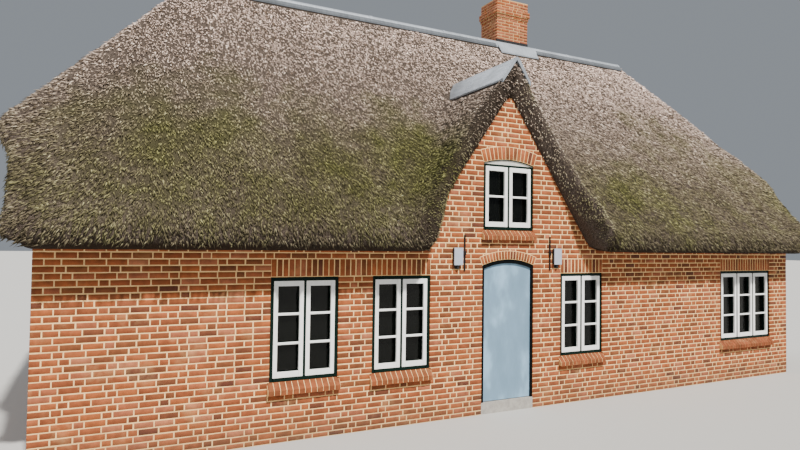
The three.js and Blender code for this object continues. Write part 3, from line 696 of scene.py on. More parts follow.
def make_iron(name):
    """Black iron with a little rust."""
    made = Finish(name, 0.6, 0.7)
    rust = made.ramp(made.noise(30, 5, 0.65), [(0.5, (0.014, 0.014, 0.015)), (0.72, (0.07, 0.032, 0.018))])
    made.bump(made.noise(120, 3), 0.35, 0.001)
    return made.colour(rust)


def joinery_paint(setting, roughness, wear=0.12):
    """A maker of paint in a colour of the joinery's settings."""
    return lambda name: make_paint(name, getattr(bpy.context.scene.cottage_joinery, setting), roughness, wear)


FINISHES = {
    "fired_clay": make_brick,
    "lime_mortar": make_mortar,
    "stack_mortar": lambda name: make_mortar(name, 0.66),
    "thatch_coat": make_thatch,
    "reed_ends": make_reed,
    "weathered_sheet": make_sheet,
    "stained_sheet": make_painted_shade_sheet,
    "dark_green_paint": joinery_paint("frame_paint", 0.35),
    "casement_paint": joinery_paint("white_paint", 0.4, 0.07),
    "leaf_paint": make_door_paint_and_painted_light,
    "door_frame_paint": lambda name: make_paint(name, (0.002, 0.003, 0.0035), 0.45),
    "infill_paint": lambda name: make_paint(name, (0.60, 0.60, 0.55), 0.5, 0.1),
    "window_glass": make_glass,
    "floor_boards": make_boards,
    "floor_concrete": lambda name: make_stone(name, (0.42, 0.41, 0.39)),
    "step_stone": lambda name: make_stone(name, (0.36, 0.34, 0.31)),
    "black_iron": make_iron,
    "lamp_shell": lambda name: make_paint(name, (0.40, 0.44, 0.52), 0.45, 0.08),
    # Dark fittings, and painted shade on the lamps' sides and in the black of the chimney's flashing
    "lamp_dark": lambda name: make_paint(name, (0.03, 0.03, 0.032), 0.5),
}


# Brickwork

# How unevenly bricks lie: their turn in the wall's face, how far they stand out and how they lean
TURN_SPREAD = 0.0035
OUT_SPREAD, OUT_LIMIT = 0.0008, 0.0012
LEAN_SPREAD, LEAN_LIMIT = 0.005, 0.009
# Tones of bricks, from 0 for burnt to 1 for pale
TONE_MIDDLE, TONE_SPREAD = 0.55, 0.2
BURNT_SHARE, BURNT_TONE = 0.09, 0.2
# The share of headers among the bricks that may be one
HEADER_SHARE = 0.62
# How deep bricks reach into a wall, pass the edge of an opening and reach above the roof's underside
BRICK_BED, JAMB_LAP, ROOF_LAP = 0.018, 0.002, 0.05
# A soldier's width with its joint, and how far sills pass an opening's sides and stand out
SOLDIER_PITCH, SILL_LAP, SOLDIER_SILL_PROUD = 0.0765, 0.024, 0.014
# Heights in courses above the heads of the ground floor's windows
BAND_TOP, GROUND_SILL_FOOT = 3, -19
GABLE_SILL_FOOT, GABLE_ARCH_TOP = 7, 23
LOFT_SILL_FOOT, LOFT_LINTEL_TOP = 6, 22
# The foot of the gable window's opening in the wall, below its sloping sill
GABLE_FOOT = 2.7
# How high brickwork is laid before the roof cuts it
FRONT_TOP, REAR_TOP, END_TOP = 5.0, 3.3, 4.6
# An arch's bricks: half a joint, how far they stand out past others, their first height and depth
ARCH_JOINT, ARCH_PROUD, ARCH_FOOT, ARCH_DEPTH = 0.004, 0.0065, 0.003, 0.012
DOOR_ARCH_HEIGHT, DOOR_ARCH_PITCH = 0.125, 0.052
GABLE_ARCH_HEIGHT, GABLE_ARCH_PITCH = 0.19, 0.0665


def master_brick():
    """One brick: a block whose outer arrises are worn. It is measured, and then cleared away."""
    brick = bpy.context.scene.cottage_brick
    size = Vector((brick.stretcher, 0.05, brick.course - brick.joint))
    piece = begin_block(-size / 2, size / 2)
    pick(piece, "EDGE", lambda middle, along: middle.y < -size.y / 2 + 1e-5)
    ease(brick.arris, 1)
    end_edit()
    points, faces = corner_arrays(piece)
    signs = np.sign(points)
    return {"signs": signs, "offsets": points - signs * np.array(size) / 2, "faces": np.array(faces)}


class Bricklayer:
    """Collects bricks as boxes on a wall facing -Y, and lays copies of the one brick for all of them."""

    def __init__(self, master, seed):
        self.master = master
        self.random = np.random.default_rng(seed)
        self.lows, self.highs, self.warps = [], [], []

    def box(self, low, high, warp=None):
        self.lows.append(low)
        self.highs.append(high)
        self.warps.append(warp)

    def drift(self, spread, limit, count):
        """A random value for each brick, kept within a limit."""
        return np.clip(self.random.normal(0, spread, (count, 1)), -limit, limit)

    def laid(self, place):
        """The points, faces and tones of all the bricks, taken to their wall."""
        low, high = np.array(self.lows), np.array(self.highs)
        count = len(low)
        middle, half = (low + high) / 2, (high - low) / 2
        points = self.master["signs"] * half[:, None, :] + self.master["offsets"]
        turn = self.random.normal(0, TURN_SPREAD, (count, 1))
        x, z = points[:, :, 0].copy(), points[:, :, 2].copy()
        points[:, :, 0] = x - turn * z
        points[:, :, 2] = z + turn * x
        out = self.drift(OUT_SPREAD, OUT_LIMIT, count)
        lean = self.drift(LEAN_SPREAD, LEAN_LIMIT, count)
        points[:, :, 1] += out + x * lean
        points += middle[:, None, :]
        for k, warp in enumerate(self.warps):
            if warp:
                points[k] = warp(points[k])
        corners = points.shape[1]
        tone = np.clip(self.random.normal(TONE_MIDDLE, TONE_SPREAD, count), 0, 1)
        burnt = self.random.random(count) < BURNT_SHARE
        tone[burnt] = self.random.random(burnt.sum()) * BURNT_TONE
        faces = repeated(self.master["faces"], count, corners)
        return moved(points.reshape(-1, 3), place), faces, np.repeat(tone, corners)


def lay(name, parts):
    """One piece of brickwork from what several bricklayers have laid."""
    points, faces, tones, start = [], [], [], 0
    for flat, quads, tone in parts:
        points.append(flat)
        faces.append(quads + start)
        tones.append(tone)
        start += len(flat)
    piece = mesh_piece(name, np.concatenate(points), np.concatenate(faces), {"tone": np.concatenate(tones)})
    dress(piece, "fired_clay")


def level(number):
    """The height of a bed joint, counted in courses from the heads of the ground floor's windows."""
    return GROUND_HEAD + number * bpy.context.scene.cottage_brick.course


def courses(high):
    """Bottom and top of each course from the ground to a height."""
    course = bpy.context.scene.cottage_brick.course
    first = level(-math.ceil(GROUND_HEAD / course - TINY))
    count = math.ceil((high - first) / course - TINY)
    return [(max(first + k * course, 0), first + (k + 1) * course) for k in range(count)]


def bond(random, start, end, odd):
    """The bricks between two places in one course, without the joints. They are laid in quarters of a brick,
    and odd courses begin three quarters on, so that their joints never meet those of even courses."""
    brick = bpy.context.scene.cottage_brick
    room = end - start + brick.joint
    quarters = round(room / ((brick.stretcher + brick.joint) / 4))
    if quarters < 1:
        return []
    pieces, left, since_header = [], quarters, random.integers(0, 3)
    if odd and quarters > 6:
        pieces.append(3)
        left -= 3
    while left > 5:
        piece = 2 if since_header > 1 and random.random() < HEADER_SHARE else 4
        since_header = 0 if piece == 2 else since_header + 1
        pieces.append(piece)
        left -= piece
    pieces += [2, 3] if left == 5 else [left]
    bricks, at = [], start
    for piece in pieces:
        width = room * piece / quarters
        bricks.append((at, at + width - brick.joint))
        at += width
    return bricks


def clear_spans(start, end, blocks, low, high):
    """What is left of a course between its ends, without the openings that take most of its height."""
    spans = [(start, end)]
    for left, right, bottom, top in blocks:
        if min(high, top) - max(low, bottom) < 0.5 * (high - low):
            continue
        spans = [
            piece for a, b in spans
            for piece in ((a, min(b, left)), (max(a, right), b)) if piece[1] - piece[0] > 0.03
        ]
    return spans


def wall_courses(layer, half, turns_corners, blocks, high, roof_at):
    """Lays a wall's courses up to its roof. Long walls turn the corners, and ends stop short of them."""
    brick = bpy.context.scene.cottage_brick
    reach = half + brick.proud
    for number, (bottom, top) in enumerate(courses(high)):
        even = number % 2 == 0
        along, across = (brick.stretcher, brick.header) if even else (brick.header, brick.stretcher)
        under, over = bottom + brick.joint / 2, top - brick.joint / 2
        end = reach - (along if turns_corners else across) - brick.joint
        for first, last in clear_spans(-end, end, blocks, under, over):
            first -= JAMB_LAP if first > -end + TINY else 0
            last += JAMB_LAP if last < end - TINY else 0
            for left, right in bond(layer.random, first, last, not even):
                if max(roof_at(left), roof_at(right)) > under - ROOF_LAP:
                    layer.box((left, -brick.proud, under), (right, BRICK_BED, over))
        if turns_corners and roof_at(0.999 * half) > under - ROOF_LAP:
            for side in (-1, 1):
                left, right = sorted((side * reach, side * (reach - along)))
                layer.box((left, -brick.proud, under), (right, across - brick.proud, over))


def soldiers(layer, left, right, bottom, top, proud=None):
    """A row of upright bricks."""
    brick = bpy.context.scene.cottage_brick
    count = round((right - left) / SOLDIER_PITCH)
    pitch = (right - left) / count
    out, gap = brick.proud if proud is None else proud, brick.joint / 2
    for k in range(count):
        a = left + k * pitch
        layer.box((a + gap, -out, bottom + gap), (a + pitch - gap, BRICK_BED, top - gap))


def frame_opening(layer, window, bottom, top):
    """Upright bricks over and under a window of the rear or an end, and the block that they leave out."""
    soldiers(layer, window.left, window.right, window.head, top)
    soldiers(layer, window.left, window.right, bottom, window.sill, SOLDIER_SILL_PROUD)
    return window.left, window.right, bottom, top


def arch_warp(centre, crown, radius):
    """Bends what is drawn straight over an opening, with its foot at height 0, round the opening's arch."""
    def warp(points):
        turn = points[:, 0] / radius
        reach = radius + points[:, 2]
        return np.stack([
            centre + reach * np.sin(turn), points[:, 1], crown - radius + reach * np.cos(turn),
        ], axis=1)
    return warp


def arch_radius(half, rise):
    """The radius of an arch, and half of the angle that it spans."""
    radius = (half * half + rise * rise) / (2 * rise)
    return radius, math.asin(half / radius)


def arch_ring(layer, half, spring, rise, height, pitch):
    """The bricks of a segmental arch, laid straight and bent round. Returns half its length and the bend."""
    brick = bpy.context.scene.cottage_brick
    radius, angle = arch_radius(half, rise)
    reach = radius * angle
    count = round(2 * reach / pitch)
    step = 2 * reach / count
    warp = arch_warp(GABLE_X, spring + rise, radius)
    for k in range(count):
        a = -reach + k * step
        low = (a + ARCH_JOINT, -brick.proud - ARCH_PROUD, ARCH_FOOT)
        layer.box(low, (a + step - ARCH_JOINT, ARCH_DEPTH, height), warp)
    return reach, warp


def arch_bed(name, reach, warp, height):
    """The mortar that the arch's bricks stand in, just in front of the cut bricks beside it."""
    proud = bpy.context.scene.cottage_brick.proud + 0.0030
    piece = begin_block((-reach - 0.004, -proud, 0), (reach + 0.004, 0.01, height + 0.008))
    bpy.ops.mesh.select_all(action="SELECT")
    bpy.ops.mesh.subdivide(number_cuts=12)
    end_edit()
    points = warp(np.array([vertex.co for vertex in piece.data.vertices]))
    place_points(piece.data, moved(points, wall_place("front")))
    dress(named(piece, name), "lime_mortar")


def roof_over(wall, half):
    """A function that gives the height of the thatch's underside over a place along a wall's face."""
    tree = tree_of(THATCH_NODES)
    place = wall_place(wall)
    stations = np.linspace(-half + 0.01, half - 0.01, 260)
    heights = []
    for u in stations:
        hit = tree.ray_cast(place @ Vector((u, 0.01, 1.5)), Vector((0, 0, 1)))[0]
        heights.append(hit.z if hit else 0.0)
    return lambda u: float(np.interp(u, stations, heights))


def make_front_bricks(master):
    """The front with its bands, the door's arch and the gable window's arch."""
    layer = Bricklayer(master, SEED)
    band_top = level(BAND_TOP)
    first, second, third, fourth = FRONT_WINDOWS
    blocks = []
    for left, right in ((first.left, second.right), (third.left, third.right), (fourth.left, fourth.right)):
        blocks.append((left, right, GROUND_HEAD, band_top))
        soldiers(layer, left, right, GROUND_HEAD, band_top)
    for window in FRONT_WINDOWS:
        blocks.append((window.left, window.right, window.sill, window.head))
        blocks.append((window.left - SILL_LAP, window.right + SILL_LAP, level(GROUND_SILL_FOOT), window.sill))
    gable = GABLE_WINDOW
    blocks += [
        (GABLE_X - DOOR_HALF, GABLE_X + DOOR_HALF, -1, band_top),
        (gable.left, gable.right, GABLE_FOOT, level(GABLE_ARCH_TOP)),
        (gable.left - SILL_LAP, gable.right + SILL_LAP, level(GABLE_SILL_FOOT), GABLE_FOOT),
    ]
    wall_courses(layer, END_X, True, blocks, FRONT_TOP, roof_over("front", END_X))
    door_arch = arch_ring(layer, DOOR_HALF, DOOR_SPRING, DOOR_RISE, DOOR_ARCH_HEIGHT, DOOR_ARCH_PITCH)
    gable_arch = arch_ring(layer, GABLE_HALF, GABLE_SPRING, GABLE_RISE, GABLE_ARCH_HEIGHT, GABLE_ARCH_PITCH)
    lay("bricks_front", [layer.laid(wall_place("front"))])
    arch_bed("door_arch_mortar", *door_arch, DOOR_ARCH_HEIGHT)
    arch_bed("gable_arch_mortar", *gable_arch, GABLE_ARCH_HEIGHT)


def make_brickwork():
    master = master_brick()
    make_front_bricks(master)
    others = [
        ("bricks_rear", "rear", END_X, True, REAR_TOP, GROUND_SILL_FOOT, BAND_TOP),
        ("bricks_left_end", "left", REAR_Y, False, END_TOP, LOFT_SILL_FOOT, LOFT_LINTEL_TOP),
        ("bricks_right_end", "right", REAR_Y, False, END_TOP, LOFT_SILL_FOOT, LOFT_LINTEL_TOP),
    ]
    for seed, (name, wall, half, turns_corners, high, foot, head) in enumerate(others, SEED + 1):
        layer = Bricklayer(master, seed)
        windows = [window for window in WINDOWS if window.wall == wall]
        blocks = [frame_opening(layer, window, level(foot), level(head)) for window in windows]
        wall_courses(layer, half, turns_corners, blocks, high, roof_over(wall, half))
        lay(name, [layer.laid(wall_place(wall))])
    for node in WALL_NODES:
        repaint(node, "lime_mortar")


# Chimney

STACK_COURSE, STACK_JOINT, STACK_PROUD = 0.064, 0.010, 0.003
STACK_HALF_WIDTH, STACK_HALF_DEPTH = 0.4025, 0.3
STACK_SEED = SEED + 20
# The courses below the corbelled band, the height of its foot, and how far it and the head above stand out
COURSES_BELOW, BAND_Z = 24, 7.45
CORBELS = (0.016, 0.036, 0.036, 0.005, 0.005, 0.005)
CAPPING_FOOT, CAPPING_HALF_WIDTH, CAPPING_HALF_DEPTH = 7.80, 0.4, 0.297
CAPPING_RISE, CAPPING_RIM, CAPPING_SINK = 0.004, 0.16, 0.06
FLASHING_SPARE, FLASHING_THICKNESS, FLASHING_RISE = 0.01, 0.02, 0.075


def stack_bricks(centre):
    """The four faces of the chimney with its corbelled band."""
    brick = bpy.context.scene.cottage_brick
    master = master_brick()
    parts = []
    for turned in range(4):
        layer = Bricklayer(master, STACK_SEED + turned)
        half_here, half_there = STACK_HALF_WIDTH, STACK_HALF_DEPTH
        if turned % 2:
            half_here, half_there = half_there, half_here
        for number in range(COURSES_BELOW + len(CORBELS)):
            step = number - COURSES_BELOW
            bottom, out = BAND_Z + step * STACK_COURSE, (CORBELS[step] if step >= 0 else 0.0) + STACK_PROUD
            along, across = brick.stretcher, brick.header
            if (number + turned) % 2:
                along, across = across, along
            reach, face = half_here + out, half_there + out
            under, over = bottom + STACK_JOINT / 2, bottom + STACK_COURSE - STACK_JOINT / 2
            end = reach - along - STACK_JOINT
            for left, right in bond(layer.random, -end, end, False):
                layer.box((left, -face, under), (right, -face + 0.03, over))
            layer.box((-reach, -face, under), (-reach + along, -face + across, over))
        matrix = Matrix.Translation(centre) @ Matrix.Rotation(turned * math.pi / 2, 4, "Z")
        flat, faces, tone = layer.laid(matrix)
        parts.append((flat, faces, np.clip(tone * 0.5 + 0.55, 0, 1)))
    lay("bricks_chimney", parts)


def stack_capping(centre, top):
    """The mortar capping, sunk round the flue."""
    out = Vector((CAPPING_HALF_WIDTH, CAPPING_HALF_DEPTH, 0))
    capping = begin_block(centre - out + Vector((0, 0, CAPPING_FOOT)), centre + out + Vector((0, 0, top)))
    pick(capping, "FACE", lambda middle, normal: middle.z > top - 1e-4)
    bpy.ops.mesh.inset(thickness=CAPPING_RIM, depth=0)
    bpy.ops.mesh.extrude_region_move(TRANSFORM_OT_translate={"value": (0, 0, -CAPPING_SINK)})
    pick(capping, "EDGE", lambda middle, along: middle.z > top - 1e-4)
    ease(0.012, 2)
    end_edit()
    dress(named(capping, "chimney_capping"), "lime_mortar")


def stack_flashing(centre):
    """Strips in front of the chimney's foot and down its sides along the roof, black as painted shadow at the
    foot.
    """
    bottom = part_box("ridge_cap")[1].z
    top = bottom + FLASHING_RISE
    half_width, half_depth = STACK_HALF_WIDTH + FLASHING_SPARE, STACK_HALF_DEPTH + FLASHING_SPARE
    left, right = centre.x - half_width, centre.x + half_width
    front, back = centre.y - half_depth, centre.y + half_depth
    inner = front + FLASHING_THICKNESS
    strips = [bar((left, front, bottom), (right, inner, top))]
    for x in (left, right - FLASHING_THICKNESS):
        side = begin_block((x, inner, bottom), (x + FLASHING_THICKNESS, back, top))
        pick(side, "VERT", lambda point: point.y > back - 1e-3)
        bpy.ops.transform.translate(value=(0, 0, -ROOF_SLOPE * (back - inner)))
        strips.append(end_edit())
    # The flashing's black is painted shadow along the chimney's foot
    dress(join(strips, "chimney_flashing"), "lamp_dark")


def make_stack():
    low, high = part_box("chimney")
    centre = Vector(((low.x + high.x) / 2, (low.y + high.y) / 2, 0))
    stack_bricks(centre)
    stack_capping(centre, high.z + CAPPING_RISE)
    repaint("chimney", "stack_mortar")
    stack_flashing(centre)


# Sills

# A sill's bricks: their pitch, half a joint, and how far they pass the solid in front, below and above
SILL_PITCH, SILL_JOINT = 0.0785, 0.0045
SILL_OUT, SILL_UNDER, SILL_OVER = 0.007, 0.005, 0.004
SILL_BACK, SILL_FALL = 0.028, 0.095
SILL_TONE, SILL_TONE_SPREAD = 0.30, 0.05


def sill_brick(low, sill, pitch):
    """The first brick on edge of a sill: a block whose front falls. It is measured, and then cleared away."""
    front, back = low.y - SILL_OUT, FRONT_Y + SILL_BACK
    near = (low.x + SILL_JOINT, front, low.z - SILL_UNDER)
    piece = begin_block(near, (low.x + pitch - SILL_JOINT, back, sill + SILL_OVER))
    pick(piece, "VERT", lambda point: point.z > sill - 0.05 and point.y < back - 0.01)
    bpy.ops.transform.translate(value=(0, 0, -SILL_FALL))
    pick(piece, "EDGE", lambda middle, along: middle.y < front + 1e-4 or middle.z > sill - 0.06)
    ease(0.0025, 1)
    end_edit()
    return corner_arrays(piece)


def make_sills():
    """Bricks on edge round each sill's solid, which shows between them as their mortar."""
    for window in FRONT_WINDOWS + [GABLE_WINDOW]:
        low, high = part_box(f"{window.name}_sill")
        count = max(10, round((high.x - low.x) / SILL_PITCH))
        pitch = (high.x - low.x) / count
        points, faces = sill_brick(low, window.sill, pitch)
        random = np.random.default_rng(SEED + len(window.name) + int(1000 * abs(window.x)))
        all_points, all_faces, tones = [], [], []
        for k in range(count):
            shift = np.array([k * pitch, random.normal(0, 0.0012), random.normal(0, 0.001)])
            all_points.append(points + shift)
            all_faces += [[v + len(points) * k for v in face] for face in faces]
            tones += [np.clip(random.normal(SILL_TONE, SILL_TONE_SPREAD), 0, 1)] * len(points)
        piece = drawn(f"{window.name}_sill_bricks", np.concatenate(all_points).tolist(), all_faces)
        store(piece.data, {"tone": tones})
        dress(piece, "fired_clay")
        repaint(f"{window.name}_sill", "lime_mortar")


# Thatch

# Reeds on the thatch's lip below this height hang down as if the lip sloped by this much
LIP_TOP, LIP_LEAN = 2.95, 0.45
# Half the width of the gable's thatch, and the upward lean below which its left and right verges are cut
GABLE_THATCH_HALF, VERGE_LEFT, VERGE_RIGHT = 1.75, 0.6, 0.85
# Above the first height the moss thins out, and below the second the thatch is damp
MOSS_TOP, DAMP_TOP = 4.9, 4.6
# The swells of the coat: weight, scale along the axes and seed
COAT_SWELLS = ((1.0, (0.9,) * 3, 1), (0.7, (2.6,) * 3, 2), (0.45, (6.5,) * 3, 4))
# How far the ridge caps reach to each side of their ridges
CAP_WING, GABLE_CAP_WING = 0.13, 0.26
# How deep the coat sinks under the caps
CAP_SINK = 0.012
# Spreads of the reeds: their turn, how far they rise from the roof, and their lengths and widths
YAW_SPREAD = 0.26
RISE, RISE_SPREAD, RISE_LIMITS = 0.30, 0.13, (0.05, 0.8)
LENGTH_SPREAD, LENGTH_LIMITS = 0.28, (0.4, 1.9)
WIDTH_SPREAD, WIDTH_LIMITS = 0.25, (0.5, 1.8)
REED_TONE, REED_TONE_SPREAD = 0.46, 0.27
# The share of a reed's length at low, middle and full height of the roof
LENGTH_HEIGHTS, LENGTH_SHARES = (2.4, 3.2, RIDGE_Z), (0.95, 1.0, 0.82)
# From here to the ends the reeds fan outwards, by this much in all
FAN_START, FAN_LENGTH, FAN_TURN = 5.2, 1.8, 0.78
# A reed's two feet, its crown and its tip: which of them each face joins, and how bright each is. The dark
# feet are painted shade where the reeds sink among others
REED_FACES = np.array([[0, 2, 1], [0, 1, 3], [1, 2, 3], [2, 0, 3]])
REED_SHADING = np.array([[0.25, 0.25, 0.9, 1.15]])


def clamp(value):
    return min(1.0, max(0.0, value))


def hump(value, middle, width):
    """A smooth rise to 1 round a middle."""
    return math.exp(-((value - middle) / width) ** 2)


def swell(point, seed):
    """A smooth random height in -1 to 1 at a point."""
    return noise.noise(Vector(point) + Vector((seed, 2.7 * seed, -seed)))


def swells(x, y, z, *layers):
    """A sum of swells, each given by its weight, its scale along the axes and its seed."""
    return sum(weight * swell((x * a, y * b, z * c), seed) for weight, (a, b, c), seed in layers)


def unit(vectors):
    """Vectors of length 1."""
    return vectors / np.maximum(np.linalg.norm(vectors, axis=1), TINY)[:, None]


def join_solids(nodes, name):
    """A merged copy of some solids as one mesh."""
    copies = []
    for node in nodes:
        copy = frame["nodes"][node].copy()
        copy.data = copy.data.copy()
        copy.parent = None
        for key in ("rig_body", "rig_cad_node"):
            if key in copy:
                del copy[key]
        bpy.context.scene.collection.objects.link(copy)
        copies.append(copy)
    whole = join(copies, name)
    begin_edit(whole)
    bpy.ops.mesh.remove_doubles(threshold=0.001)
    end_edit()
    return whole


def moss_at(points):
    """How mossy the thatch is at each point: most in a wide band on the front's left and beside the gable."""
    values = []
    for x, y, z in points:
        patches = swells(
            x, y, z, (0.42, (0.55, 0.5, 0.8), 3), (0.34, (1.7, 1.5, 1.9), 8), (0.30, (5, 4, 5), 5),
        )
        if y < 0 and x < GABLE_X:
            band = 0.60 * hump(z, 3.55 + 0.12 * (x + 4), 1.0)
            left_end = -0.42 * max(0.0, 1 - (x + 7.04) / 1.6)
            valley = 0.32 * hump(x, -1.75, 0.4) * hump(z, 4.0, 0.9)
            over_door = -0.6 * clamp((x + 1.35) / 0.4)
            bias = band + left_end + valley + over_door
        elif y < 0:
            bias = 0.10 + 0.38 * hump(x, 2.1, 0.8) * hump(z, 3.4, 0.5)
        else:
            bias = 0.24
        bias -= max(0.0, z - MOSS_TOP) * 0.5 + 0.16 * clamp((3.0 - z) / 0.3)
        values.append(clamp(1.2 * (patches + bias + 0.02)))
    return np.array(values) * 0.9


def verge_cut(points, normals):
    """Which points lie on the cut reed ends along the gable's verges. The right one turns further under."""
    near = (np.abs(points[:, 0] - GABLE_X) < GABLE_THATCH_HALF) & (points[:, 1] < FRONT_Y)
    return near & (np.abs(normals[:, 2]) < np.where(points[:, 0] > GABLE_X, VERGE_RIGHT, VERGE_LEFT))


def painted_shade_and_damp_at(points, normals):
    """How dark the thatch is: painted shade on all of its underside and on its left verge, none on its right
    verge, damp streaks on its top, and more damp towards its foot.
    """
    values = []
    for (x, y, z), normal in zip(points, normals):
        # Faces turned downwards get painted shade
        under = clamp((-0.3 - normal[2]) * 2.5)
        streak = swells(x, y, z, (1.0, (2.4, 0.8, 0.9), 13), (0.5, (7, 3, 3), 17))
        low = max(0.0, (DAMP_TOP - z) / 2.0) * 0.26
        values.append(min(1.0, max(under, 0.34 * streak + low)))
    # On the verges' cut faces, the left verge gets painted shade and the right verge none, painted as lit
    left_verge_painted_shade = np.where(points[:, 0] < GABLE_X, 0.75, 0.0)
    return np.clip(np.where(verge_cut(points, normals), left_verge_painted_shade, values), 0, 1)


def near_caps(points, spare):
    """Which points lie under the ridge sheets or the stack."""
    x, y, z = points.T
    main = (np.abs(y) < CAP_WING + spare) & (x > RIDGE_LEFT) & (x < RIDGE_RIGHT) & (z > 6.0)
    low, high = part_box("ridge_cap")
    stack_low, stack_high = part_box("chimney")
    apron = (x > stack_low.x - 0.06 - spare) & (x < stack_high.x + 0.06 + spare)
    apron &= (y > low.y - spare) & (y < high.y + spare) & (z > 5)
    low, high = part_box("gable_ridge_cap")
    gable = (np.abs(x - GABLE_X) < GABLE_CAP_WING + spare) & (y > low.y + 0.10) & (y < high.y - 0.1)
    gable &= z > low.z - spare
    return main | apron | gable


def make_coat():
    """The whole thatch as one coat, with the swell of a hand-laid roof."""
    thatch = bpy.context.scene.cottage_thatch
    coat = join_solids(THATCH_NODES, "thatch_coat")
    remesh = coat.modifiers.new("Remesh", "REMESH")
    remesh.mode = "VOXEL"
    remesh.voxel_size = thatch.grain
    apply_modifier(coat, remesh)
    mesh = coat.data
    points, normals = vertex_arrays(mesh)
    lift = np.array([swells(x, y, z, *COAT_SWELLS) for x, y, z in points])
    lift *= thatch.sway * np.clip(normals[:, 2] * 3 + 0.6, 0.1, 1)
    lift[near_caps(points, 0.05)] = -CAP_SINK
    points += normals * lift[:, None]
    place_points(mesh, points)
    moss = moss_at(points) * np.clip(normals[:, 2] * 4, 0, 1)
    store(mesh, {"moss": moss, "gloom": painted_shade_and_damp_at(points, normals)})
    only(coat)
    bpy.ops.object.shade_smooth()
    dress(coat, "thatch_coat")
    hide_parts(*THATCH_NODES)
    return coat


def scatter(mesh, density, random):
    """Random places on the mesh's top and lips, denser along the eaves, with their normals."""
    mesh.calc_loop_triangles()
    count = len(mesh.loop_triangles)
    corners = np.zeros(count * 3, np.int32)
    mesh.loop_triangles.foreach_get("vertices", corners)
    corners = corners.reshape(-1, 3)
    points, normals = vertex_arrays(mesh)
    a, b, c = (points[corners[:, k]] for k in range(3))
    cross = np.cross(b - a, c - a)
    area = np.linalg.norm(cross, axis=1) / 2
    up = cross[:, 2] / np.maximum(2 * area, 1e-12)
    outer = np.abs((a[:, 1] + b[:, 1] + c[:, 1]) / 3) > REAR_Y + 0.3
    weight = area * np.clip((up + np.where(outer, 0.9, 0.5)) * 4, 0.0, 1.0) * np.where(outer, 1.5, 1.0)
    total = int(density * weight.sum())
    chosen = random.choice(count, total, p=weight / weight.sum())
    first, second = random.random(total), random.random(total)
    over = first + second > 1
    first[over], second[over] = 1 - first[over], 1 - second[over]
    share = np.stack([1 - first - second, first, second], 1)
    place = sum(points[corners[chosen, k]] * share[:, k:k + 1] for k in range(3))
    normal = sum(normals[corners[chosen, k]] * share[:, k:k + 1] for k in range(3))
    return place, unit(normal)


def reed_axes(place, normal, random):
    """The direction that each reed lies in, down the slope and fanned out near the ends, and its side."""
    down = unit(np.array([[0, 0, -1.0]]) + normal * normal[:, 2:3])
    across = np.cross(normal, down)
    x = place[:, 0]
    fan = np.clip((np.abs(x) - FAN_START) / FAN_LENGTH, 0, 1) * FAN_TURN * (np.abs(normal[:, 1]) > 0.3)
    fan *= np.sign(across[:, 0]) * np.sign(x)
    yaw = (fan + random.normal(0, YAW_SPREAD, len(place)))[:, None]
    lie = down * np.cos(yaw) + across * np.sin(yaw)
    side = across * np.cos(yaw) - down * np.sin(yaw)
    rise = np.clip(random.normal(RISE, RISE_SPREAD, len(place)), *RISE_LIMITS)[:, None]
    return lie * np.cos(rise) + normal * np.sin(rise), side


def reed_regions(place, normal):
    """Which reeds each piece takes."""
    x, y = place[:, 0], place[:, 1]
    steep = np.abs(normal[:, 0]) > 0.62
    left_hip, right_hip = steep & (x < -4.0), steep & (x > 4.0)
    rest = ~(left_hip | right_hip)
    return {
        "reeds_left_hip": left_hip, "reeds_right_hip": right_hip,
        "reeds_front_left": rest & (y < 0) & (x < GABLE_X),
        "reeds_front_right": rest & (y < 0) & (x >= GABLE_X),
        "reeds_rear_left": rest & (y >= 0) & (x < 0),
        "reeds_rear_right": rest & (y >= 0) & (x >= 0),
    }


def make_reeds(coat):
    """Reed ends all over the coat: slim closed spikes that lie down the slope with their tips just raised."""
    thatch = bpy.context.scene.cottage_thatch
    random = np.random.default_rng(SEED + 40)
    place, normal = scatter(coat.data, thatch.reeds, random)
    kept = ~near_caps(place, 0.02)
    place, normal = place[kept], normal[kept]
    count = len(place)
    hanging = (place[:, 2] < LIP_TOP) & (normal[:, 2] < LIP_LEAN)
    normal[hanging, 2] = LIP_LEAN
    normal = unit(normal)
    lie, side = reed_axes(place, normal, random)
    long = thatch.reed_length * np.clip(random.normal(1, LENGTH_SPREAD, count), *LENGTH_LIMITS)[:, None]
    long *= np.interp(place[:, 2:3], LENGTH_HEIGHTS, LENGTH_SHARES)
    wide = thatch.reed_width * np.clip(random.normal(1, WIDTH_SPREAD, count), *WIDTH_LIMITS)[:, None]
    # Along the verges the reeds are cut short and stand out
    cut = verge_cut(place, normal)
    lie[cut] = normal[cut] * 0.75 + lie[cut] * 0.66
    long[cut] *= 0.42
    foot = place - lie * long * 0.3 - normal * 0.004
    crown = foot + normal * wide * 0.55 + lie * long * 0.35
    tip = place + lie * long * 0.7
    points = np.stack([foot + side * wide / 2, foot - side * wide / 2, crown, tip], axis=1)
    tone = np.clip(random.normal(REED_TONE, REED_TONE_SPREAD, count), 0, 1)
    # Cut ends are paler, and those on the right verge are brightened further as painted light
    tone[cut] = np.clip(tone[cut] * 1.5 + np.where(place[cut, 0] > GABLE_X, 0.25, 0), 0, 1)
    moss, gloom = moss_at(place), painted_shade_and_damp_at(place, normal) * np.where(cut, 0.35, 0.7)
    for name, here in reed_regions(place, normal).items():
        values = {
            "moss": np.repeat(moss[here], 4), "gloom": np.repeat(gloom[here], 4),
            "tone": tone[here, None] * REED_SHADING,
        }
        faces = repeated(REED_FACES, int(here.sum()), 4)
        dress(mesh_piece(name, points[here].reshape(-1, 3), faces, values), "reed_ends")


# Ridge sheets

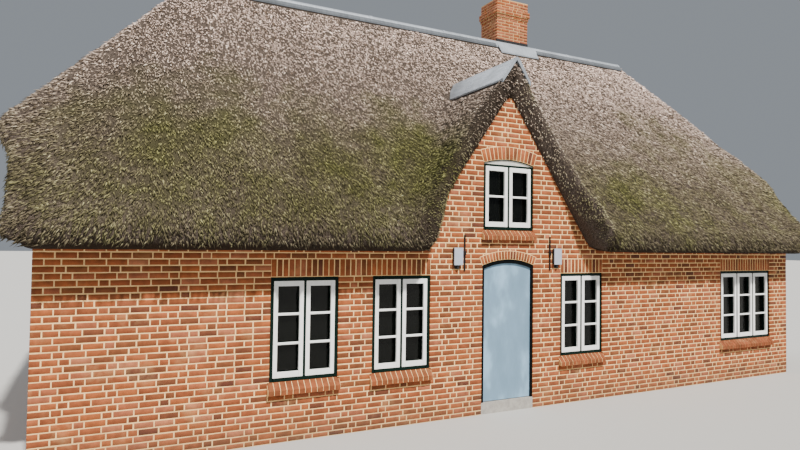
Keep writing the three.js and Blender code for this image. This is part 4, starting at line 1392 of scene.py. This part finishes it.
# The ridge caps' sheet, as the solids have it: its thickness, and its crown's half width and rise
SHEET_THICKNESS, CROWN_HALF, CROWN_RISE = 0.028, 0.07, 0.067
LAP_PROUD, LAP_THICKNESS, LAP_WING_SPARE = 0.003, 0.005, 0.002
# How far laps and hems stay from the stack
LAP_CLEAR, HEM_CLEAR = 0.12, 0.10
# A hem runs between these distances from the ridge and turns down over the edge. Its dark sheet is painted
# shade along the lower wing
HEM_INNER, HEM_OUTER, HEM_TURN = 0.094, 0.1350, 0.034
HEM_PROUD, HEM_THICKNESS = 0.002, 0.004
GABLE_LAPS = (-3.15, -2.1)


def sheet_strip(profile, start, end, thickness, along):
    """A folded strip over a ridge from a profile of points, swept between two places along it."""
    points = []
    for at in (start, end):
        for across, height in profile:
            points.append((at, across, height) if along == "x" else (across, at, height))
    count = len(profile)
    piece = drawn("strip", points, [[k, k + 1, count + k + 1, count + k] for k in range(count - 1)])
    solid = piece.modifiers.new("Solid", "SOLIDIFY")
    solid.thickness = thickness
    solid.offset = 0
    apply_modifier(piece, solid)
    turn_outwards(piece)
    return piece


def ridge_profile(ridge, slope, wing, lift, centre=0.0):
    """The top of a ridge sheet across its ridge: two wings and a round crown between them."""
    shoulder = ridge - slope * CROWN_HALF + 2 * SHEET_THICKNESS
    edge = ridge - slope * wing + lift
    points = [(-wing, edge)]
    for k in range(7):
        t = k / 6
        height = (1 - t) ** 2 * shoulder + 2 * t * (1 - t) * (ridge + CROWN_RISE) + t * t * shoulder
        points.append((-CROWN_HALF + 2 * CROWN_HALF * t, height + LAP_PROUD))
    points.append((wing, edge))
    return [(centre + across, height) for across, height in points]


def hem_profile(side, wing, crown):
    """A hem on one wing, between the wing's edge and the crown's foot as the ridge's profile has them."""
    places = (abs(crown[0]), abs(wing[0]))
    points = []
    for across in (HEM_INNER, HEM_OUTER):
        height = float(np.interp(across, places, (crown[1], wing[1])))
        points.append((side * across, height + HEM_PROUD))
    across, height = points[-1]
    return points + [(across, height - HEM_TURN)]


def make_ridges():
    ridge = bpy.context.scene.cottage_ridge
    profile = ridge_profile(RIDGE_Z, ROOF_SLOPE, CAP_WING + LAP_WING_SPARE, 0.031)
    stack_low, stack_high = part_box("chimney")
    laps, half_lap = [], ridge.lap_width / 2
    at = RIDGE_LEFT + 0.03
    while at < RIDGE_RIGHT - 0.05:
        if not stack_low.x - LAP_CLEAR < at < stack_high.x + LAP_CLEAR:
            laps.append(sheet_strip(profile, at - half_lap, at + half_lap, LAP_THICKNESS, "x"))
        at += ridge.lap_spacing
    laps.append(sheet_strip(profile, RIDGE_RIGHT - 0.06, RIDGE_RIGHT, LAP_THICKNESS, "x"))
    dress(join(laps, "ridge_laps"), "weathered_sheet")
    # The hems are dark strips of painted shade along the ridge sheet's lower wings
    hems = []
    for side in (-1, 1):
        hem = hem_profile(side, profile[0], profile[1])
        hems.append(sheet_strip(hem, RIDGE_LEFT, stack_low.x - HEM_CLEAR, HEM_THICKNESS, "x"))
        hems.append(sheet_strip(hem, stack_high.x + HEM_CLEAR, RIDGE_RIGHT, HEM_THICKNESS, "x"))
    dress(join(hems, "ridge_hems"), "stained_sheet")
    profile = ridge_profile(GABLE_RIDGE_Z, GABLE_SLOPE, GABLE_CAP_WING + LAP_WING_SPARE, 0.034, GABLE_X)
    laps = [sheet_strip(profile, at - 0.03, at + 0.03, LAP_THICKNESS, "y") for at in GABLE_LAPS]
    dress(join(laps, "gable_ridge_laps"), "weathered_sheet")
    for node in ("ridge_cap", "gable_ridge_cap"):
        repaint(node, "weathered_sheet")


# Windows and door

# Joinery keeps this far from its opening
FIT = 0.0006
# The stiles and bottom rails of casements with two rows of panes, and the dark frame over these and others
SMALL_STILE, SMALL_BOTTOM_RAIL = 0.055, 0.074
SMALL_FRAME_TOP, FRAME_TOP = 0.034, 0.050
# How far the frame reaches behind the casements and between them
FRAME_LAP, MULLION_LAP = 0.014, 0.012
REBATE_LAP, REBATE_DEPTH = 0.006, 0.076
# Rails stand back from stiles, and glazing bars from rails
RAIL_BACK, BAR_BACK, BAR_TENON, BAR_ARRIS = 0.001, 0.008, 0.004, 0.006
ARCH_STEPS = 16
ARCH_EDGE = 0.013


def place_on(piece, wall):
    """Takes a piece drawn on a wall facing -Y with its face at y = 0 to its wall."""
    piece.data.transform(wall_place(wall))
    piece.data.update()
    return piece


def casement(left, right, bottom, top, rows, front, back, segments=2):
    """The bars of one casement, or of the dark rebate behind it."""
    joinery = bpy.context.scene.cottage_joinery
    stile, bottom_rail = joinery.stile, joinery.bottom_rail
    if rows == 2:
        stile, bottom_rail = SMALL_STILE, SMALL_BOTTOM_RAIL
    inner_left, inner_right, rail_front = left + stile, right - stile, front + RAIL_BACK
    bars = [
        bar((left, front, bottom), (inner_left, back, top), segments=segments),
        bar((inner_right, front, bottom), (right, back, top), segments=segments),
        bar((inner_left, rail_front, bottom), (inner_right, back, bottom + bottom_rail), segments=segments),
        bar((inner_left, rail_front, top - joinery.top_rail), (inner_right, back, top), segments=segments),
    ]
    glazed = top - joinery.top_rail - bottom - bottom_rail
    pane = (glazed - (rows - 1) * joinery.bar) / rows
    for row in range(1, rows):
        z = bottom + bottom_rail + row * pane + (row - 1) * joinery.bar
        low = (inner_left - BAR_TENON, front + BAR_BACK, z)
        bars.append(bar(low, (inner_right + BAR_TENON, back - 0.004, z + joinery.bar), BAR_ARRIS, segments))
    return bars


def make_window(window):
    """The dark outer frame of a window, its dark rebates behind the casements, painted shade that reads as
    the dark panes, and its white casements in front of them.
    """
    joinery = bpy.context.scene.cottage_joinery
    front, back = joinery.recess + 0.004, joinery.recess + joinery.depth
    left, right = window.left + FIT, window.right - FIT
    bottom, top = window.sill + FIT, window.head - FIT
    inner_left, inner_right = left + joinery.frame_side, right - joinery.frame_side
    low, high = bottom + joinery.frame_side, top - (FRAME_TOP if window.rows == 3 else SMALL_FRAME_TOP)
    frame_bars = [
        bar((left, front, bottom), (inner_left + FRAME_LAP, back, top)),
        bar((inner_right - FRAME_LAP, front, bottom), (right, back, top)),
        bar((inner_left, front, bottom), (inner_right, back, low + FRAME_LAP)),
        bar((inner_left, front, high - FRAME_LAP), (inner_right, back, top)),
    ]
    gap = joinery.gap
    light = (inner_right - inner_left - (window.lights - 1) * gap) / window.lights
    face, rebate = joinery.recess - 0.001, joinery.recess + joinery.white_depth
    white_bars = []
    for k in range(window.lights):
        a = inner_left + k * (light + gap)
        place = (a, a + light, low, high, window.rows)
        white_bars += casement(*place, face, rebate)
        # Dark rebates behind the casements are painted shade that reads as the dark panes
        frame_bars += casement(*place, rebate - REBATE_LAP, face + REBATE_DEPTH, 1)
        if k:
            frame_bars.append(bar((a - gap - MULLION_LAP, front + 0.004, low), (a + MULLION_LAP, back, high)))
    dark = place_on(join(frame_bars, f"{window.name}_outer_frame"), window.wall)
    dress(dark, "dark_green_paint")
    white = place_on(join(white_bars, f"{window.name}_casements"), window.wall)
    dress(white, "casement_paint")
    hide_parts(f"{window.name}_frame")
    repaint(f"{window.name}_glass", "window_glass")


def arch_line(inset):
    """Points along the gable window's arch, that much inside it."""
    half = GABLE_HALF - FIT
    radius, angle = arch_radius(half, GABLE_RISE)
    centre = GABLE_SPRING + GABLE_RISE - radius
    turns = [angle * (2 * k / ARCH_STEPS - 1) for k in range(ARCH_STEPS + 1)]
    reach = radius - inset
    return [(GABLE_X + reach * math.sin(turn), centre + reach * math.cos(turn) - 0.0008) for turn in turns]


def arch_board(name, outer, inner, front, back):
    """A closed board between two lines of points, on the front."""
    points = [(x, y, z) for y in (front, back) for line in (outer, inner) for x, z in line]
    # Where each line's points begin: the outer and inner line in front, and the same behind
    a, b, c, d = (len(outer) * k for k in range(4))
    faces = []
    for k in range(len(outer) - 1):
        for first, second in ((a, b), (c, d), (a, c), (b, d)):
            faces.append([first + k, second + k, second + k + 1, first + k + 1])
    for end in (0, len(outer) - 1):
        faces.append([line + end for line in (a, c, d, b)])
    piece = drawn(name, points, faces)
    turn_outwards(piece)
    return place_on(piece, "front")


def make_infill():
    """The pale board between the gable window's flat head and its arch, with a thin dark arched edge."""
    outer = arch_line(0.012)
    inner = [(x, GABLE_HEAD - 0.002) for x, z in outer]
    dress(arch_board("gable_window_infill", outer, inner, 0.020, 0.065), "infill_paint")
    outer = arch_line(0.0)
    inner = [(x, z - ARCH_EDGE) for x, z in outer]
    dress(arch_board("gable_window_arch_edge", outer, inner, 0.015, 0.08), "dark_green_paint")


def make_door():
    repaint("door_frame", "door_frame_paint")
    repaint("door_leaf", "leaf_paint")
    repaint("door_sill", "step_stone")


# Lamps, wall anchors and floors

# The foot of a lamp's cover, and the cover's thickness
LAMP_FOOT, COVER_THICKNESS = 2.22, 0.02
PIPE_RADIUS, PIPE_LENGTH = 0.02, 0.075
WEDGE_HALF_WIDTH, WEDGE_HALF_HEIGHT = 0.021, 0.03


def make_lamp(node):
    """A box lamp: a pale cover on a shell open below, dark as painted shade on the lamp's sides, with a plate
    and a short pipe under it.
    """
    low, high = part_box(node)
    middle = (low.x + high.x) / 2
    cover = bar((low.x, low.y, LAMP_FOOT), (high.x, low.y + COVER_THICKNESS, high.z), 0.006, 3)
    dress(named(cover, f"{node}_cover"), "lamp_shell")
    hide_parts(node)
    # The shell's dark paint is painted shade on the lamp's sides; the plate and the pipe are dark fittings
    shell_low = (low.x + 0.003, low.y + 0.018, LAMP_FOOT + 0.004)
    shell = begin_block(shell_low, (high.x - 0.003, high.y, high.z - 0.003))
    bpy.ops.mesh.select_all(action="SELECT")
    ease(0.008, 3)
    pick(shell, "FACE", lambda centre, normal: normal.z < -0.9)
    bpy.ops.mesh.inset(thickness=0.006)
    bpy.ops.mesh.extrude_region_move(TRANSFORM_OT_translate={"value": (0, 0, 0.03)})
    end_edit()
    deselect()
    foot = (middle, high.y - 0.023, LAMP_FOOT - 0.02)
    bpy.ops.mesh.primitive_cylinder_add(vertices=24, radius=PIPE_RADIUS, depth=PIPE_LENGTH, location=foot)
    pipe = settle(bpy.context.object)
    bpy.ops.object.mode_set(mode="EDIT")
    pick(pipe, "EDGE", lambda centre, along: abs(along.z) < 1e-5)
    ease(0.005, 2)
    end_edit()
    plate = bar((middle - 0.04, high.y - 0.012, LAMP_FOOT - 0.055), (middle + 0.04, high.y, LAMP_FOOT + 0.06))
    dress(join([shell, pipe, plate], f"{node}_box"), "lamp_dark")


def make_fittings():
    for side in ("left", "right"):
        make_lamp(f"wall_lamp_{side}")
        anchor = f"wall_anchor_{side}"
        repaint(anchor, "black_iron")
        low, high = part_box(anchor)
        x, z = (low.x + high.x) / 2, (low.z + high.z) / 2
        near = (x - WEDGE_HALF_WIDTH, low.y - 0.009, z - WEDGE_HALF_HEIGHT)
        wedge = bar(near, (x + WEDGE_HALF_WIDTH, high.y, z + WEDGE_HALF_HEIGHT), 0.004)
        dress(named(wedge, f"{anchor}_wedge"), "black_iron")


def make_floors():
    repaint("floor_slab", "floor_concrete")
    repaint("loft_floor", "floor_boards")


# Floor, lights and camera

SUN_COLOUR = (1.0, 0.955, 0.89)
SUN_TOWARDS, FILL_TOWARDS = (-0.06, 0.60, -0.825), (0.30, -0.72, -0.62)
# The camera that was fitted to the photograph: its place, and its turn from +Y to +X, upwards and clockwise
CAMERA_PLACE = (-5.9698, -10.4612, 2.5383)
CAMERA_TURN = (26.5287, 1.6801, 0.7837)


def add_sun(name, strength, spread, towards, colour=(1.0, 1.0, 1.0)):
    """A distant light that shines towards a direction."""
    sun = bpy.data.lights.new(name, "SUN")
    sun.energy = strength
    sun.angle = spread
    sun.color = colour
    link(name, sun).rotation_euler = Vector(towards).normalized().to_track_quat("-Z", "Y").to_euler()


def add_camera(name, lens):
    """The camera at the photograph's viewing angle."""
    camera = bpy.data.cameras.new(name)
    camera.lens = lens
    camera.sensor_width = 36
    camera.clip_end = 400
    holder = link(name, camera)
    yaw, pitch, roll = (math.radians(value) for value in CAMERA_TURN)
    ahead = Vector((math.sin(yaw) * math.cos(pitch), math.cos(yaw) * math.cos(pitch), math.sin(pitch)))
    right = Vector((math.cos(yaw), -math.sin(yaw), 0))
    up = right.cross(ahead)
    right, up = right * math.cos(roll) + up * math.sin(roll), up * math.cos(roll) - right * math.sin(roll)
    turn = Matrix((right, up, -ahead)).transposed().to_4x4()
    holder.matrix_world = Matrix.Translation(CAMERA_PLACE) @ turn
    bpy.context.scene.camera = holder


def make_stage():
    stage = bpy.context.scene.cottage_stage
    deselect()
    bpy.ops.mesh.primitive_plane_add(size=240, location=(0, 0, 0))
    floor = named(bpy.context.object, "studio_floor")
    made = Finish("studio_floor", 0.9, specular=0.2)
    made.set("Base Color", tuple(stage.floor) + (1,))
    floor.data.materials.append(made.material)
    world = bpy.data.worlds.new("studio_sky")
    world.use_nodes = True
    shade = world.node_tree.nodes["Background"]
    shade.inputs["Color"].default_value = tuple(stage.sky) + (1,)
    shade.inputs["Strength"].default_value = stage.sky_strength
    bpy.context.scene.world = world
    add_sun("studio_key", stage.sun_strength, stage.sun_spread, SUN_TOWARDS, SUN_COLOUR)
    add_sun("studio_fill", stage.fill_strength, stage.fill_spread, FILL_TOWARDS)
    add_camera("photo_view", stage.lens)


# Operators

class COTTAGE_OT_brickwork(bpy.types.Operator):
    """Lay the bricks of all the walls, with their bands and arches"""

    bl_idname = "cottage.brickwork"
    bl_label = "Brickwork"

    def execute(self, context):
        make_brickwork()
        return {"FINISHED"}


class COTTAGE_OT_sills(bpy.types.Operator):
    """Lay the brick sills of the front windows"""

    bl_idname = "cottage.sills"
    bl_label = "Sills"

    def execute(self, context):
        make_sills()
        return {"FINISHED"}


class COTTAGE_OT_stack(bpy.types.Operator):
    """Lay the bricks of the chimney and its capping"""

    bl_idname = "cottage.stack"
    bl_label = "Chimney"

    def execute(self, context):
        make_stack()
        return {"FINISHED"}


class COTTAGE_OT_thatch(bpy.types.Operator):
    """Model the coat of thatch and the reed ends on it"""

    bl_idname = "cottage.thatch"
    bl_label = "Thatch"

    def execute(self, context):
        make_reeds(make_coat())
        return {"FINISHED"}


class COTTAGE_OT_ridges(bpy.types.Operator):
    """Finish the ridge sheets with their laps, and dark hems of painted shade on their lower wings"""

    bl_idname = "cottage.ridges"
    bl_label = "Ridge sheets"

    def execute(self, context):
        make_ridges()
        return {"FINISHED"}


class COTTAGE_OT_windows(bpy.types.Operator):
    """Make the frames, casements and glass of all the windows"""

    bl_idname = "cottage.windows"
    bl_label = "Windows"

    def execute(self, context):
        for window in WINDOWS:
            make_window(window)
        make_infill()
        return {"FINISHED"}


class COTTAGE_OT_door(bpy.types.Operator):
    """Finish the door leaf, its frame and its sill"""

    bl_idname = "cottage.door"
    bl_label = "Door"

    def execute(self, context):
        make_door()
        return {"FINISHED"}


class COTTAGE_OT_fittings(bpy.types.Operator):
    """Make the wall lamps and finish the wall anchors"""

    bl_idname = "cottage.fittings"
    bl_label = "Lamps and anchors"

    def execute(self, context):
        make_fittings()
        return {"FINISHED"}


class COTTAGE_OT_floors(bpy.types.Operator):
    """Finish the floors inside"""

    bl_idname = "cottage.floors"
    bl_label = "Floors"

    def execute(self, context):
        make_floors()
        return {"FINISHED"}


class COTTAGE_OT_stage(bpy.types.Operator):
    """Set up the pale floor, the soft light and the camera"""

    bl_idname = "cottage.stage"
    bl_label = "Stage"

    def execute(self, context):
        make_stage()
        return {"FINISHED"}


OPERATORS = [
    COTTAGE_OT_brickwork, COTTAGE_OT_sills, COTTAGE_OT_stack, COTTAGE_OT_windows, COTTAGE_OT_door,
    COTTAGE_OT_fittings, COTTAGE_OT_floors, COTTAGE_OT_ridges, COTTAGE_OT_thatch, COTTAGE_OT_stage,
]


class VIEW3D_PT_cottage(bpy.types.Panel):
    """The cottage's steps and settings"""

    bl_idname = "VIEW3D_PT_cottage"
    bl_label = "Thatched cottage"
    bl_space_type = "VIEW_3D"
    bl_region_type = "UI"
    bl_category = "Cottage"

    def draw(self, context):
        for step in OPERATORS:
            self.layout.operator(step.bl_idname)
        for name, group in SETTINGS.items():
            box = self.layout.box()
            for key in group.__annotations__:
                box.prop(getattr(context.scene, name), key)


def register():
    for group in SETTINGS.values():
        bpy.utils.register_class(group)
    for name, group in SETTINGS.items():
        setattr(bpy.types.Scene, name, PointerProperty(type=group))
    for step in OPERATORS:
        bpy.utils.register_class(step)
    bpy.utils.register_class(VIEW3D_PT_cottage)


def unregister():
    bpy.utils.unregister_class(VIEW3D_PT_cottage)
    for step in reversed(OPERATORS):
        bpy.utils.unregister_class(step)
    for name, group in SETTINGS.items():
        delattr(bpy.types.Scene, name)
        bpy.utils.unregister_class(group)


def main():
    register()
    bpy.ops.cottage.brickwork()
    bpy.ops.cottage.sills()
    bpy.ops.cottage.stack()
    bpy.ops.cottage.windows()
    bpy.ops.cottage.door()
    bpy.ops.cottage.fittings()
    bpy.ops.cottage.floors()
    bpy.ops.cottage.ridges()
    bpy.ops.cottage.thatch()
    bpy.ops.cottage.stage()
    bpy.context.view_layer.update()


if __name__ == "__main__":
    main()
